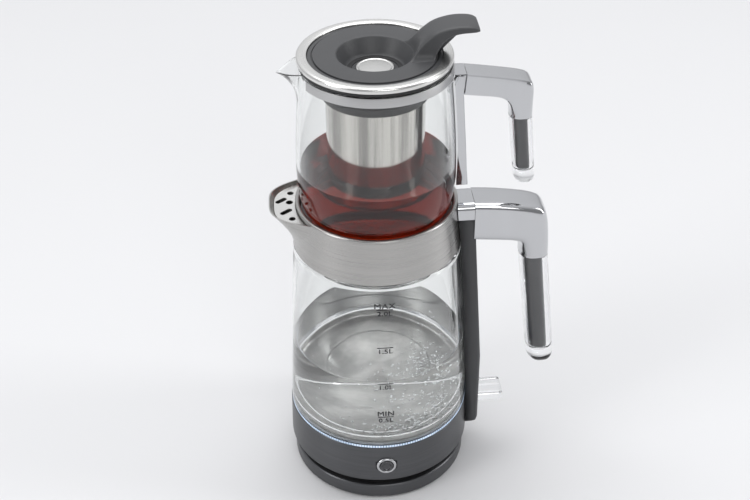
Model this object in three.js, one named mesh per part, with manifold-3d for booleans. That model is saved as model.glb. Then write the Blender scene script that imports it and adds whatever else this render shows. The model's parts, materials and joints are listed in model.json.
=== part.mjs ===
// Two-storey tea maker: a cordless glass kettle on a round base, with a glass teapot nested in its collar.
// Millimetres, +Z up. The origin is the centre of the base's underside, on the axis of the round bodies.
// The front, with the level marks and the button, looks along -Y; the handles are at +X and the spouts at -X.
import * as THREE from "three";
import { mergeVertices } from "three/addons/utils/BufferGeometryUtils.js";
import Module from "manifold-3d";

const wasm = await Module();
wasm.setup();

// Sizes that every piece shares
const fit = 0.3; // gap where one piece seats on or in another
const overrun = 3; // how far a cutting solid passes the face that it cuts
const weld = 1e-3; // distance under which two vertices are one
const ringFacets = 32;
const boreFacets = 16;
const smallFacets = 10;
const cornerSteps = 2;

// Power base
const base = {
  inset: 2.5, // from the band's lower edge in to the trim ring
  height: 12.9,
  sheet: 1.2, // trim ring wall
  lip: 4, // how far the trim ring turns in over the housing
  rounding: 1.6,
  floor: 2, // bottom cover thickness
  upstand: 4, // height of the rib that centres the cover in the housing
  wall: 2, // housing wall
  deckRise: 4.1, // the deck that the kettle stands on, above the trim ring
  deckInset: 6,
  wellRadius: 19,
};
const foot = { radius: 6.5, height: 2, studRadius: 2.4, inset: 17.4 };
const terminal = { width: 26, depth: 16, height: 7.3 };
const gland = { width: 12, height: 7.8, depth: 9, boreRadius: 3.1, rounding: 1.5 };

// Round connector between base and kettle
const plug = {
  skirtRadius: 22,
  skirtHeight: 2.5,
  towerRadius: 12.5,
  towerHeight: 15.9,
  grooveInner: 6.3,
  grooveOuter: 9.6,
  grooveDepth: 12.5,
  contact: 0.7, // thickness of the ring contact
  contactDrop: 2, // the contacts end this far below the tower's top
  pinRadius: 2,
};
const socket = {
  radius: 20.5,
  flangeWidth: 4.5,
  flange: 2.2,
  play: 0.7, // round the tower
  roof: 4.7,
  contactInner: 7,
  contactOuter: 8.2,
  contactReach: 9.5,
};

// Kettle, lower part
const kettle = {
  standGap: 9, // from the trim ring's top to the lower edge of the steel band
  floor: 2.8, // bottom cover thickness
  rimInset: 3.5, // from the band's lower edge in to the cover's rim
  coverSlope: 6.4, // from the cover's rim in to its flat part
  rimWall: 2,
  rimHeight: 5.1,
  bandHeight: 35.3,
  bandStep: 0.4, // of the band's top edge beyond the glass
  bandTaper: 0.9,
  sheet: 1,
  bandLip: 3,
};
const chassis = {
  gap: 0.6, // round it, inside the band
  wall: 2,
  shelfWidth: 11.4,
  shelfDrop: 7.7, // shelf top below the band's top edge
  shelf: 2,
  neckWidth: 4,
  neckHeight: 7.6,
  postRadius: 3,
  postInset: 11.9,
};
const coverScrew = { headRadius: 2.8, headHeight: 1.2, shankRadius: 1.5, shankLength: 14, recess: 0.2 };
const element = { inset: 23.8, tubeRadius: 3.5, gapAngle: 0.5, steps: 24, sides: 8 };
const plate = { gap: 1.8, thickness: 1.2, rimHeight: 8.9, rimWall: 1, rounding: 2 };
const seal = { wall: 0.9, height: 4 };
const board = { thickness: 1.5 };
const lightRing = { width: 3.4, skirtInset: 1.4, edge: 1.8, inset: 0.1 };
const control = { width: 40, depth: 34, height: 11, trayGap: 2.5, trayDepth: 18, trayHeight: 8.5 };

// Kettle, glass and collar
const glass = {
  bottomRadius: 74.6,
  step: 0.3, // of the shoulder beyond the collar's lower edge
  height: 155.9, // from its lower edge to the shoulder
  wall: 3,
  shoulder: 2,
  neckInset: 4.1,
  neckHeight: 7,
};
const collar = {
  taper: 3.8,
  rimWidth: 2.7,
  height: 38.4,
  sheet: 1,
  bead: 2.4,
  mouthGap: 3.7, // beyond the radius of the teapot's rim
  seatDepth: 10.4, // from the rim down to the top of the seat flange
  seatWidth: 10.7,
  seatLip: 2.5,
  glassGap: 1.5, // from the glass shoulder to the collar's lower edge
};
const collarSeal = { wall: 1, height: 5.5 };
const seatRing = { inset: 1.5, width: 8, thickness: 1.7 };
const spout = {
  reach: 17.5, // tip beyond the collar's lower edge
  bottomRise: 2,
  topDrop: 1.8, // the lip's height below the collar's rim
  halfAngleDegrees: 36,
  wall: 1,
  bluntnessShare: 0.45,
  windowWidth: 36,
  windowBottom: 10,
  windowTop: 22.5,
};
const strainer = { drop: 4, thickness: 0.8 };
// Holes of the strainer: place along the spout from the collar, place across it, slot's half length, radius
const strainerHoleShares = [
  [0.2, 0.5, 0, 0.025],
  [0.24, 0.14, 0, 0.0325],
  [0.56, 0.2, 0.065, 0.0225],
  [0.34, -0.26, 0.06, 0.024],
  [0.2, -0.5, 0, 0.026],
];
const slotDegrees = 50;

// Kettle handle
const column = {
  halfWidth: 15,
  depthBottom: 10.5, // of its outer face beyond the band's top edge
  depthTop: 13, // the same beyond the collar's rim
  bendHeight: 75, // of its outer face, above the band's lower edge
  bottomRise: 1.2, // above the band's lower edge
  wall: 2,
  edge: 3,
  channelHalfWidth: 10,
  channelTopDrop: 6.5,
  capHeight: 13.5,
  capRise: 5, // the cap's top below the collar's rim
  endRounding: 5,
};
const bar = {
  halfWidth: 15,
  rounding: 5,
  slope: 2.6, // drop of its top from the column to the bend
  cornerReach: 46.6, // beyond the column's outer face at its top, as are the next two
  cornerDrop: 5.5,
  noseReach: 57.6,
  noseDrop: 13.5,
  depth: 33.5,
  undersideReach: 35.6,
  undersideDrop: 37.5,
  stubDrop: 54.5,
};
const grip = {
  reach: 50.9, // of its middle beyond the column's outer face at its top
  topHalfThickness: 11.8,
  lean: 12.7,
  bottomHalfThickness: 11.2,
  length: 114, // from the stub to the rounded end
  halfWidth: 14,
  coreShare: 0.62,
  coreEnd: 13, // from the core's end to the sleeve's end
};
const steamTube = {
  radius: 2.7,
  wall: 0.9,
  inset: 5,
  topDrop: 25.6,
  offset: 8.6, // of its outer side from the kettle's
  bottomRise: 38,
  sides: 10,
  steps: 2,
};
const steamHole = { radius: 2.4, drop: 27 };
const columnScrew = { headRadius: 3, headHeight: 1.2, shankRadius: 1.6, shankLength: 9, drop: 21.5 };

// Boil switch at the foot of the column
const rocker = {
  height: 26.4, // its pivot above the band's lower edge
  halfWidth: 11,
  thickness: 9.3,
  reach: 21.5, // beyond the column's outer face
  inside: 1.2,
  edge: 2.4,
  pivotInset: 5,
  pinRadius: 1.2,
  hubRadius: 3.6,
  fingerReach: 15,
  fingerHalfWidth: 3,
  fingerThickness: 2.4,
  swingDegrees: 12,
  slotPlay: 0.5,
};

// Front button
const button = {
  height: 16.4, // its axis above the band's lower edge
  radius: 5.6,
  proud: 1.9, // beyond the band at the axis
  cap: 4.4,
  stemRadius: 2,
  stemLength: 5.5,
  travel: 2,
  bezelRadius: 8.3,
  bezelProud: 1.3,
  barrelRadius: 7.1,
  webDepth: 8,
  web: 1.4,
  springRadius: 3.6,
  springWall: 1,
  boardHalfWidth: 12,
  board: 1.6,
  switchHalfWidth: 4,
  switchHeight: 8.5,
};

// Teapot
const teapot = {
  height: 123.7, // from its underside to the rim
  rimRadius: 56,
  wall: 2.6,
  floor: 3.2,
  footInset: 6,
};
// Outer outline of the teapot: radius as a share of the rim radius, height as a share of the teapot's height
const teapotShares = [
  [0.985, 0.011],
  [1.032, 0.05],
  [1.06, 0.1],
  [1.082, 0.19],
  [1.089, 0.31],
  [1.075, 0.5],
  [1.044, 0.71],
  [1.014, 0.88],
  [1, 1],
];
const lip = { reach: 17, bottomDrop: 28, topDrop: 7, halfAngleDegrees: 19, wall: 2.4, bluntnessShare: 0.5 };
const band = { thickness: 1, height: 7.2, topDrop: 0.4, openDegrees: 27, tabHalfWidth: 7, tabHeight: 24 };
const potColumn = {
  halfWidth: 10.3,
  bottomDrop: 104, // its end below the rim
  topDrop: 9.8,
  topReach: 10, // of its outer face beyond the teapot's rim
  middleReach: 8.4,
  bottomReach: 13.6,
  middleDrop: 26.5,
  edge: 1.2,
};
const potBar = {
  halfWidth: 10.3,
  rounding: 1.2,
  endReach: 43, // beyond the column's outer face at its top, as are the other reaches
  endDrop: 16.4,
  noseReach: 50.2,
  noseDrop: 21,
  undersideReach: 24,
  undersideDrop: 29.3,
  innerReach: 34.4,
  innerDrop: 40,
  stubDrop: 49,
};
const potGrip = {
  reach: 42.8,
  topHalfThickness: 8.7,
  lean: 6.1,
  bottomHalfThickness: 8.2,
  length: 59.5,
  halfWidth: 10,
  coreShare: 0.6,
  coreEnd: 11,
};
const neckScrew = { headRadius: 2.4, headHeight: 1.2, shankRadius: 1.2, shankLength: 5.2, drop: 18 };

// Infuser
const basket = {
  gap: 19, // from the teapot's rim in to the basket
  wall: 0.8,
  height: 88,
  rounding: 6,
  flangeWidth: 3,
  holeRadius: 2.4,
  holeRows: 2,
  holesPerRow: 5,
};
const carrier = {
  bottomDrop: 24.5, // below the teapot's rim
  ringWall: 2.6,
  ringHeight: 6,
  shelf: 1.6,
  skirtHeight: 6,
  wall: 1.8,
  flange: 1.8,
};

// Lid
const lid = {
  overhang: 1.2, // beyond the teapot's rim
  ringWidth: 7.7,
  ringHeight: 4.8,
  ringRounding: 2.6,
  grooveInset: 3.9,
  grooveWidth: 0.9,
  grooveDepth: 0.8,
  discDrop: 1, // below the ring's top
  stepDrop: 0.8,
  disc: 3,
  craterTop: 27,
  craterBottom: 21.5,
  craterDepth: 12.5,
  craterWall: 2.2,
};
const tongue = { halfWidth: 12.8, edge: 1.5 };
// Side outline of the thumb tongue: distance from the axis and height over the disc, as shares of the lid's radius
const tongueShares = [
  [0.38, -0.03],
  [0.38, 0.19],
  [0.55, 0.22],
  [0.6, 0.235],
  [0.7, 0.3],
  [0.82, 0.36],
  [1.0, 0.4],
  [1.18, 0.405],
  [1.27, 0.38],
  [1.305, 0.34],
  [1.27, 0.3],
  [1.1, 0.295],
  [0.98, 0.265],
  [0.88, 0.2],
  [0.83, 0.12],
  [0.82, -0.03],
];
// How the crater's wall goes on above the disc and flares into the tongue, in the same shares
const flareShares = [
  [0.525, 0.149],
  [0.594, 0.227],
];
const insert = { radius: 14, thickness: 1.6 };
const skirt = { wall: 3.4, depth: 8.5 };
const lidSeal = { wall: 1.3, height: 3, drop: 2.5 };

// Radii of the kettle, from the teapot that sits in the collar down to the power base
const mouthRadius = teapot.rimRadius + collar.mouthGap;
const seatInner = mouthRadius - collar.seatWidth;
const collarTopRadius = mouthRadius + collar.rimWidth;
const collarLowRadius = collarTopRadius + collar.taper;
const glassTopRadius = collarLowRadius + glass.step;
const neckRadius = glassTopRadius - glass.neckInset;
const bandTopRadius = glass.bottomRadius + kettle.bandStep;
const bandLowRadius = bandTopRadius + kettle.bandTaper;
const chassisRadius = bandTopRadius - kettle.sheet - chassis.gap;
const shelfInner = chassisRadius - chassis.shelfWidth;
const coverRim = bandLowRadius - kettle.rimInset;
const coverFlat = coverRim - kettle.coverSlope;
const plateRadius = glass.bottomRadius - glass.wall - plate.gap;
const guideInner = glass.bottomRadius - lightRing.width;
const guideSkirt = glass.bottomRadius - lightRing.skirtInset;
const baseRadius = bandLowRadius - base.inset;

// Radii of the pieces over and in the teapot
const footRadius = teapot.rimRadius - teapot.footInset;
const carrierInner = teapot.rimRadius - teapot.wall - 2 * fit - carrier.wall;
const basketRadius = teapot.rimRadius - basket.gap;
const lidRadius = teapot.rimRadius + lid.overhang;
const lidRingInner = lidRadius - lid.ringWidth;
const discRadius = lidRingInner - fit;
const grooveRadius = discRadius - lid.grooveInset;
const skirtRadius = carrierInner - lidSeal.wall - fit;

// Distances of the handles' faces from the axis
const columnLowX = bandTopRadius + column.depthBottom;
const columnTopX = collarTopRadius + column.depthTop;
const gripX = columnTopX + grip.reach;
const potColumnTopX = teapot.rimRadius + potColumn.topReach;
const potColumnMiddleX = teapot.rimRadius + potColumn.middleReach;
const potGripX = potColumnTopX + potGrip.reach;

// Levels, from the table up
const deckZ = base.height + base.deckRise;
const coverZ = deckZ + fit;
const bandZ = base.height + kettle.standGap;
const bandTopZ = bandZ + kettle.bandHeight;
const shelfZ = bandTopZ - chassis.shelfDrop;
const plateZ = shelfZ + chassis.neckHeight + fit;
const lightZ = bandTopZ + fit;
const glassZ = lightZ + lightRing.edge + fit;
const shoulderZ = glassZ + glass.height;
const collarZ = shoulderZ + collar.glassGap;
const rimZ = collarZ + collar.height;
const seatZ = rimZ - collar.seatDepth;
const potZ = seatZ + seatRing.thickness + 2 * fit;
const potRimZ = potZ + teapot.height;
const flangeZ = potRimZ + fit;
const lidZ = flangeZ + carrier.flange + fit;
const lidTopZ = lidZ + lid.ringHeight;
const discZ = lidTopZ - lid.discDrop;
const pivotZ = bandZ + rocker.height;
const pivotX = columnLowX - rocker.pivotInset;
const bendZ = bandZ + column.bendHeight;
const buttonZ = bandZ + button.height;
const capTopZ = rimZ - column.capRise;
const plugZ = deckZ - base.wall - plug.skirtHeight;
const towerZ = deckZ + plug.towerHeight;

// Finishes of the plain model
const finish = {
  darkSteel: new THREE.MeshStandardMaterial({ color: 0x55565a, roughness: 0.38, metalness: 0.9 }),
  steel: new THREE.MeshStandardMaterial({ color: 0xc9c9cb, roughness: 0.3, metalness: 1 }),
  chrome: new THREE.MeshStandardMaterial({ color: 0xe4e4e6, roughness: 0.08, metalness: 1 }),
  greyPlastic: new THREE.MeshStandardMaterial({ color: 0x4a4b4d, roughness: 0.5, metalness: 0 }),
  blackPlastic: new THREE.MeshStandardMaterial({ color: 0x151517, roughness: 0.45, metalness: 0 }),
  clear: new THREE.MeshStandardMaterial({ color: 0xe9eef0, roughness: 0.05, transparent: true, opacity: 0.35 }),
  rubber: new THREE.MeshStandardMaterial({ color: 0x1b1b1c, roughness: 0.85, metalness: 0 }),
  silicone: new THREE.MeshStandardMaterial({ color: 0xb9bbbd, roughness: 0.7, metalness: 0 }),
  brass: new THREE.MeshStandardMaterial({ color: 0xc9a24b, roughness: 0.3, metalness: 1 }),
  circuit: new THREE.MeshStandardMaterial({ color: 0x1d5a35, roughness: 0.6, metalness: 0 }),
};

// Turns a three.js geometry into a solid, with the vertices that meet made one
function solid(geometry) {
  for (const name of Object.keys(geometry.attributes)) {
    if (name !== "position") geometry.deleteAttribute(name);
  }
  const merged = mergeVertices(geometry, weld);
  const vertProperties = new Float32Array(merged.attributes.position.array);
  const triVerts = new Uint32Array(merged.index.array);
  return new wasm.Manifold(new wasm.Mesh({ numProp: 3, vertProperties, triVerts }));
}

// Turns a solid back into a geometry that a mesh can hold
function surface(made) {
  const mesh = made.getMesh();
  const geometry = new THREE.BufferGeometry();
  geometry.setAttribute("position", new THREE.BufferAttribute(mesh.vertProperties, 3));
  geometry.setIndex(new THREE.BufferAttribute(mesh.triVerts, 1));
  return geometry;
}

// Rounds the corners of an outline: each point is [x, y] or [x, y, radius]
function rounded(points, steps = cornerSteps) {
  const result = [];
  points.forEach(([x, y, radius = 0], i) => {
    if (radius === 0) {
      result.push([x, y]);
      return;
    }
    const here = new THREE.Vector2(x, y);
    const before = new THREE.Vector2(...points[(i + points.length - 1) % points.length].slice(0, 2)).sub(here);
    const after = new THREE.Vector2(...points[(i + 1) % points.length].slice(0, 2)).sub(here);
    const reach = Math.min(radius, before.length() / 2, after.length() / 2);
    const start = here.clone().addScaledVector(before.normalize(), reach);
    const end = here.clone().addScaledVector(after.normalize(), reach);
    const curve = new THREE.QuadraticBezierCurve(start, here, end);
    curve.getPoints(steps).forEach((p) => result.push([p.x, p.y]));
  });
  return result;
}

function windsBack(points) {
  let area = 0;
  points.forEach(([x, y], i) => {
    const [nextX, nextY] = points[(i + 1) % points.length];
    area += x * nextY - nextX * y;
  });
  return area < 0;
}

// A body of revolution about +Z; its outline is a list of [radius, height] or [radius, height, corner radius]
function turned(outline, facets = ringFacets) {
  const points = rounded(outline);
  if (windsBack(points)) points.reverse();
  const first = points.findIndex(([r], i) => r === 0 && points[(i + points.length - 1) % points.length][0] === 0);
  const ordered = first < 0 ? [...points, points[0]] : [...points.slice(first), ...points.slice(0, first)];
  const profile = ordered.map(([r, z]) => new THREE.Vector2(r, z));
  return solid(new THREE.LatheGeometry(profile, facets).rotateX(Math.PI / 2));
}

// A plain round bar from one height to another
function rod(radius, low, high, facets = smallFacets) {
  const cylinder = new THREE.CylinderGeometry(radius, radius, high - low, facets).rotateX(Math.PI / 2);
  return solid(cylinder.translate(0, 0, (low + high) / 2));
}

// The same bar along X, and along Y
function rodX(radius, low, high, z, facets = smallFacets) {
  const cylinder = new THREE.CylinderGeometry(radius, radius, high - low, facets).rotateZ(Math.PI / 2);
  return solid(cylinder.translate((low + high) / 2, 0, z));
}
function rodY(radius, low, high, x, z, facets = smallFacets) {
  const cylinder = new THREE.CylinderGeometry(radius, radius, high - low, facets);
  return solid(cylinder.translate(x, (low + high) / 2, z));
}

function block(low, high) {
  const size = high.map((value, i) => value - low[i]);
  const centre = high.map((value, i) => (value + low[i]) / 2);
  return solid(new THREE.BoxGeometry(...size).translate(...centre));
}

// An outline in the XZ plane, given its width along Y, with rounded long edges
function sideways(outline, halfWidth, edge = 0) {
  const shape = new THREE.Shape(rounded(outline).map(([x, z]) => new THREE.Vector2(x, z)));
  const settings = { depth: 2 * (halfWidth - edge), bevelEnabled: edge > 0, steps: 1 };
  Object.assign(settings, { bevelThickness: edge, bevelSize: edge, bevelOffset: -edge, bevelSegments: cornerSteps });
  const geometry = new THREE.ExtrudeGeometry(shape, settings);
  return solid(geometry.translate(0, 0, edge - halfWidth).rotateX(Math.PI / 2));
}

// An outline in the YZ plane, from one X to another
function lengthwise(outline, low, high) {
  const shape = new THREE.Shape(rounded(outline).map(([y, z]) => new THREE.Vector2(y, z)));
  const geometry = new THREE.ExtrudeGeometry(shape, { depth: high - low, bevelEnabled: false });
  return solid(geometry.rotateX(Math.PI / 2).rotateZ(Math.PI / 2).translate(low, 0, 0));
}

// A closed skin over rings of equal length, with a flat fan over each end
function loft(rings) {
  const count = rings[0].length;
  const points = rings.flat();
  const middle = (ring) => ring.reduce((sum, p) => sum.add(p), new THREE.Vector3()).divideScalar(count);
  points.push(middle(rings[0]), middle(rings[rings.length - 1]));
  const faces = [];
  rings.slice(1).forEach((ring, level) => {
    ring.forEach((p, i) => {
      const a = level * count + i;
      const b = level * count + ((i + 1) % count);
      faces.push(a, b, b + count, a, b + count, a + count);
    });
  });
  rings[0].forEach((p, i) => {
    const last = (rings.length - 1) * count;
    faces.push((i + 1) % count, i, points.length - 2);
    faces.push(last + i, last + ((i + 1) % count), points.length - 1);
  });
  const geometry = new THREE.BufferGeometry().setFromPoints(points);
  geometry.setIndex(faces);
  return solid(geometry);
}

const radians = THREE.MathUtils.degToRad;
const between = THREE.MathUtils.lerp;

// Outer radius of the steel band, the glass and the collar at a height
function kettleRadius(z) {
  if (z <= bandTopZ) {
    const share = THREE.MathUtils.clamp((z - bandZ) / kettle.bandHeight, 0, 1);
    return between(bandLowRadius, bandTopRadius, share);
  }
  if (z < collarZ) return between(glass.bottomRadius, glassTopRadius, (z - glassZ) / glass.height);
  return between(collarLowRadius, collarTopRadius, Math.min((z - collarZ) / collar.height, 1));
}

// The space of the band, glass and collar, with a gap round it: the handle column is cut to it
function clearCone(gap) {
  const low = bandZ - overrun;
  const rim = kettleRadius(bandZ) + gap;
  const outline = [
    [0, low],
    [rim, low],
    [rim, bandZ],
    [bandTopRadius + gap, bandTopZ],
    [bandTopRadius + gap, glassZ],
    [glassTopRadius + gap, shoulderZ],
    [glassTopRadius + gap, collarZ],
    [collarTopRadius + gap, rimZ],
    [collarTopRadius + gap, rimZ + overrun],
    [0, rimZ + overrun],
  ];
  return turned(outline);
}

// A chute that leaves a round body at -X and ends in a blunt lip.
// bodyRadius(z) is the body it leaves; inset moves its skin inwards; the outline widens from the bottom up.
function chute(size, bodyRadius, lowZ, highZ, tipDrop, inset, raise) {
  const levels = 6;
  const across = 5;
  const tipX = bodyRadius(lowZ) + size.reach - inset;
  return loft(
    Array.from({ length: levels }, (unused, level) => {
      const share = level / (levels - 1);
      const angle = radians(size.halfAngleDegrees) * Math.sin((share * Math.PI) / 2);
      const z = between(lowZ + inset, highZ, share);
      const start = bodyRadius(z) * Math.cos(angle) - weld;
      const half = Math.max(bodyRadius(z) * Math.sin(angle) - inset, size.wall / 2);
      const end = between(bodyRadius(lowZ) + size.wall / 2 - inset, tipX, Math.sqrt(share) * share);
      const inner = bodyRadius(z) - 2 * size.wall;
      const ring = [];
      for (let i = 0; i <= 2 * across; i++) {
        const turn = (i / (2 * across)) * 2 - 1;
        const along = Math.cos((turn * Math.PI) / 2);
        const wide = Math.sign(turn) * Math.pow(Math.abs(turn), 1 - size.bluntnessShare * share);
        const top = share * (raise - tipDrop * along);
        ring.push(new THREE.Vector3(-between(start, Math.max(end, start), along), -half * wide, z + top));
      }
      ring.push(new THREE.Vector3(-inner * Math.cos(angle), -half, z + share * raise));
      ring.push(new THREE.Vector3(-inner * Math.cos(angle), half, z + share * raise));
      return ring;
    }),
  );
}

// A leaning grip of rounded section, from its top down to a domed end, shrunk by an inset
function leaning(size, topX, topZ, lowShare, widthShare, inset = 0) {
  const domeSteps = 3;
  const sides = 16;
  const power = 2.6; // of the section's outline, between a circle and a square
  const length = size.length * lowShare;
  const dome = size.bottomHalfThickness * widthShare;
  const stations = [0, (1 - dome / length) / 2];
  for (let i = 0; i <= domeSteps; i++) {
    const angle = (i / (domeSteps + 1)) * (Math.PI / 2);
    stations.push(1 - (dome / length) * (1 - Math.sin(angle)));
  }
  const rings = stations.map((share, level) => {
    const shrink = Math.cos((Math.max(level - 2, 0) / (domeSteps + 1)) * (Math.PI / 2));
    const along = share * lowShare;
    const thick = between(size.topHalfThickness, size.bottomHalfThickness, along);
    const half = (thick * widthShare - inset) * shrink;
    const wide = (size.halfWidth * widthShare - inset) * shrink;
    const x = topX + size.lean * along;
    return Array.from({ length: sides }, (unused, i) => {
      const turn = (-i / sides) * 2 * Math.PI;
      const cos = Math.cos(turn);
      const sin = Math.sin(turn);
      const blunt = Math.pow(Math.abs(cos) ** power + Math.abs(sin) ** power, -1 / power);
      return new THREE.Vector3(x + half * blunt * cos, wide * blunt * sin, topZ - along * size.length);
    });
  });
  return loft(rings);
}

function ringPlaces(count, radius, startAngle) {
  return Array.from({ length: count }, (unused, i) => {
    const angle = startAngle + (i / count) * 2 * Math.PI;
    return [radius * Math.cos(angle), radius * Math.sin(angle)];
  });
}

const object = new THREE.Group();
function add(name, made, material) {
  const mesh = new THREE.Mesh(surface(made), material);
  mesh.name = name;
  object.add(mesh);
}

// Power base
const glandLowZ = base.floor + fit;
const footPlaces = ringPlaces(4, baseRadius - foot.inset, Math.PI / 4);

function glandBlock(gap) {
  const half = gland.width / 2 + gap;
  const low = glandLowZ - gap;
  const high = glandLowZ + gland.height + gap;
  const corner = gland.rounding;
  const outline = [
    [-half, low, corner],
    [half, low, corner],
    [half, high, corner],
    [-half, high, corner],
  ];
  const start = baseRadius - gland.depth - gap;
  return lengthwise(outline, start, baseRadius + gap * overrun).rotate([0, 0, 90]);
}

function trimRing() {
  const outline = [
    [baseRadius, 0, base.rounding],
    [baseRadius, base.height, base.rounding],
    [baseRadius - base.lip, base.height],
    [baseRadius - base.lip, base.height - base.sheet],
    [baseRadius - base.sheet, base.height - base.sheet],
    [baseRadius - base.sheet, 0],
  ];
  return turned(outline).subtract(glandBlock(fit));
}

function baseHousing() {
  const outer = baseRadius - base.sheet - fit;
  const top = base.height - base.sheet - fit;
  const deck = baseRadius - base.deckInset;
  const low = base.floor + fit;
  const outline = [
    [outer, low],
    [outer, top],
    [deck, top],
    [deck, deckZ, base.rounding],
    [base.wellRadius, deckZ],
    [base.wellRadius, deckZ - base.wall],
    [deck - base.wall, deckZ - base.wall],
    [deck - base.wall, top - base.wall],
    [outer - base.wall, top - base.wall],
    [outer - base.wall, low],
  ];
  return turned(outline).subtract(glandBlock(fit));
}

function bottomCover() {
  const outer = baseRadius - base.sheet - fit;
  const ribOuter = outer - base.wall - fit;
  const outline = [
    [0, 0],
    [outer, 0],
    [outer, base.floor],
    [ribOuter, base.floor],
    [ribOuter, base.floor + base.upstand],
    [ribOuter - base.wall, base.floor + base.upstand],
    [ribOuter - base.wall, base.floor],
    [0, base.floor],
  ];
  let made = turned(outline).subtract(glandBlock(fit));
  footPlaces.forEach(([x, y]) => {
    const hole = rod(foot.studRadius + fit, -overrun, base.floor + overrun);
    made = made.subtract(hole.translate([x, y, 0]));
  });
  return made;
}

function rubberFoot([x, y]) {
  const outline = [
    [0, -foot.height],
    [foot.radius, -foot.height],
    [foot.radius, -fit],
    [foot.studRadius, -fit],
    [foot.studRadius, base.floor],
    [0, base.floor],
  ];
  return turned(outline, smallFacets).translate([x, y, 0]);
}

add("base_trim_ring", trimRing(), finish.darkSteel);
add("base_housing", baseHousing(), finish.blackPlastic);
add("base_bottom_cover", bottomCover(), finish.blackPlastic);
footPlaces.forEach((place, i) => add("base_foot_" + (i + 1), rubberFoot(place), finish.rubber));
const terminalLow = [-terminal.width / 2, -terminal.depth / 2, base.floor + fit];
const terminalHigh = [terminal.width / 2, terminal.depth / 2, base.floor + fit + terminal.height];
add("base_terminal_block", block(terminalLow, terminalHigh), finish.blackPlastic);
const glandBore = rodY(gland.boreRadius, 0, baseRadius + overrun, 0, glandLowZ + gland.height / 2);
add("cord_inlet", glandBlock(0).subtract(glandBore), finish.rubber);

// Round connector: the plug stays in the base
function plugTower() {
  const step = deckZ - fit;
  const outline = [
    [plug.pinRadius + fit, plugZ],
    [plug.skirtRadius, plugZ],
    [plug.skirtRadius, plugZ + plug.skirtHeight - fit],
    [base.wellRadius - fit, plugZ + plug.skirtHeight - fit],
    [base.wellRadius - fit, step],
    [plug.towerRadius, step],
    [plug.towerRadius, towerZ, base.rounding / 2],
    [plug.grooveOuter, towerZ],
    [plug.grooveOuter, towerZ - plug.grooveDepth],
    [plug.grooveInner, towerZ - plug.grooveDepth],
    [plug.grooveInner, towerZ],
    [plug.pinRadius + fit, towerZ],
  ];
  return turned(outline, boreFacets);
}

function tube(inner, outer, low, high, facets = boreFacets) {
  return turned(
    [
      [inner, low],
      [outer, low],
      [outer, high],
      [inner, high],
    ],
    facets,
  );
}

const ringContactOuter = plug.grooveOuter - fit;
add("base_plug", plugTower(), finish.blackPlastic);
add("plug_centre_pin", rod(plug.pinRadius, plugZ, towerZ - plug.contactDrop), finish.brass);
const ringContactLow = towerZ - plug.grooveDepth + fit;
const ringContactInner = ringContactOuter - plug.contact;
const ringContact = tube(ringContactInner, ringContactOuter, ringContactLow, towerZ - plug.contactDrop);
add("plug_ring_contact", ringContact, finish.brass);

// Kettle: socket, bottom cover and chassis
const socketRoofZ = towerZ + socket.play;
const socketTopZ = socketRoofZ + socket.roof;

function connectorSocket() {
  const cavity = plug.towerRadius + socket.play;
  const flangeLow = coverZ + kettle.floor + fit;
  const outline = [
    [0, socketRoofZ],
    [cavity, socketRoofZ],
    [cavity, coverZ],
    [socket.radius, coverZ],
    [socket.radius, flangeLow],
    [socket.radius + socket.flangeWidth, flangeLow],
    [socket.radius + socket.flangeWidth, flangeLow + socket.flange],
    [socket.radius, flangeLow + socket.flange],
    [socket.radius, socketTopZ],
    [0, socketTopZ],
  ];
  const seatTop = socketRoofZ + socket.roof / 2 + fit;
  const seat = tube(socket.contactInner - fit, socket.contactOuter + fit, socketRoofZ - overrun, seatTop);
  return turned(outline, boreFacets).subtract(seat);
}

const postPlaces = ringPlaces(3, chassisRadius - chassis.postInset, Math.PI / 2);

function kettleCover() {
  const top = coverZ + kettle.floor;
  const outline = [
    [socket.radius + fit, coverZ],
    [coverFlat, coverZ],
    [coverRim, bandZ],
    [coverRim, bandZ + kettle.rimHeight],
    [coverRim - kettle.rimWall, bandZ + kettle.rimHeight],
    [coverRim - kettle.rimWall, bandZ + fit],
    [coverFlat - kettle.rimWall, top],
    [socket.radius + fit, top],
  ];
  let made = turned(outline);
  postPlaces.forEach(([x, y]) => {
    const headTop = coverZ + coverScrew.recess + coverScrew.headHeight + fit;
    made = made.subtract(rod(coverScrew.headRadius + fit, coverZ - overrun, headTop).translate([x, y, 0]));
    made = made.subtract(rod(coverScrew.shankRadius + fit, coverZ, top + overrun).translate([x, y, 0]));
  });
  return made;
}

function screwUp([x, y], z, size) {
  const neck = z + size.headHeight;
  const outline = [
    [0, z],
    [size.headRadius, z],
    [size.headRadius, neck],
    [size.shankRadius, neck],
    [size.shankRadius, neck + size.shankLength],
    [0, neck + size.shankLength],
  ];
  return turned(outline, smallFacets).translate([x, y, 0]);
}

// Window of the rocker's finger through the band, chassis and column
function fingerWindow() {
  const half = rocker.fingerHalfWidth + 2 * fit;
  const swing = Math.sin(radians(rocker.swingDegrees)) * rocker.fingerReach;
  const reach = rocker.fingerThickness / 2 + rocker.slotPlay;
  const low = [pivotX - rocker.fingerReach - 2 * fit, -half, pivotZ - reach - swing];
  return block(low, [pivotX, half, pivotZ + reach + rocker.slotPlay]);
}

const barrelLow = -bandLowRadius - overrun;
const frontBarrel = rodY(button.barrelRadius + fit, barrelLow, -chassisRadius / 2, 0, buttonZ, boreFacets);

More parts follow.
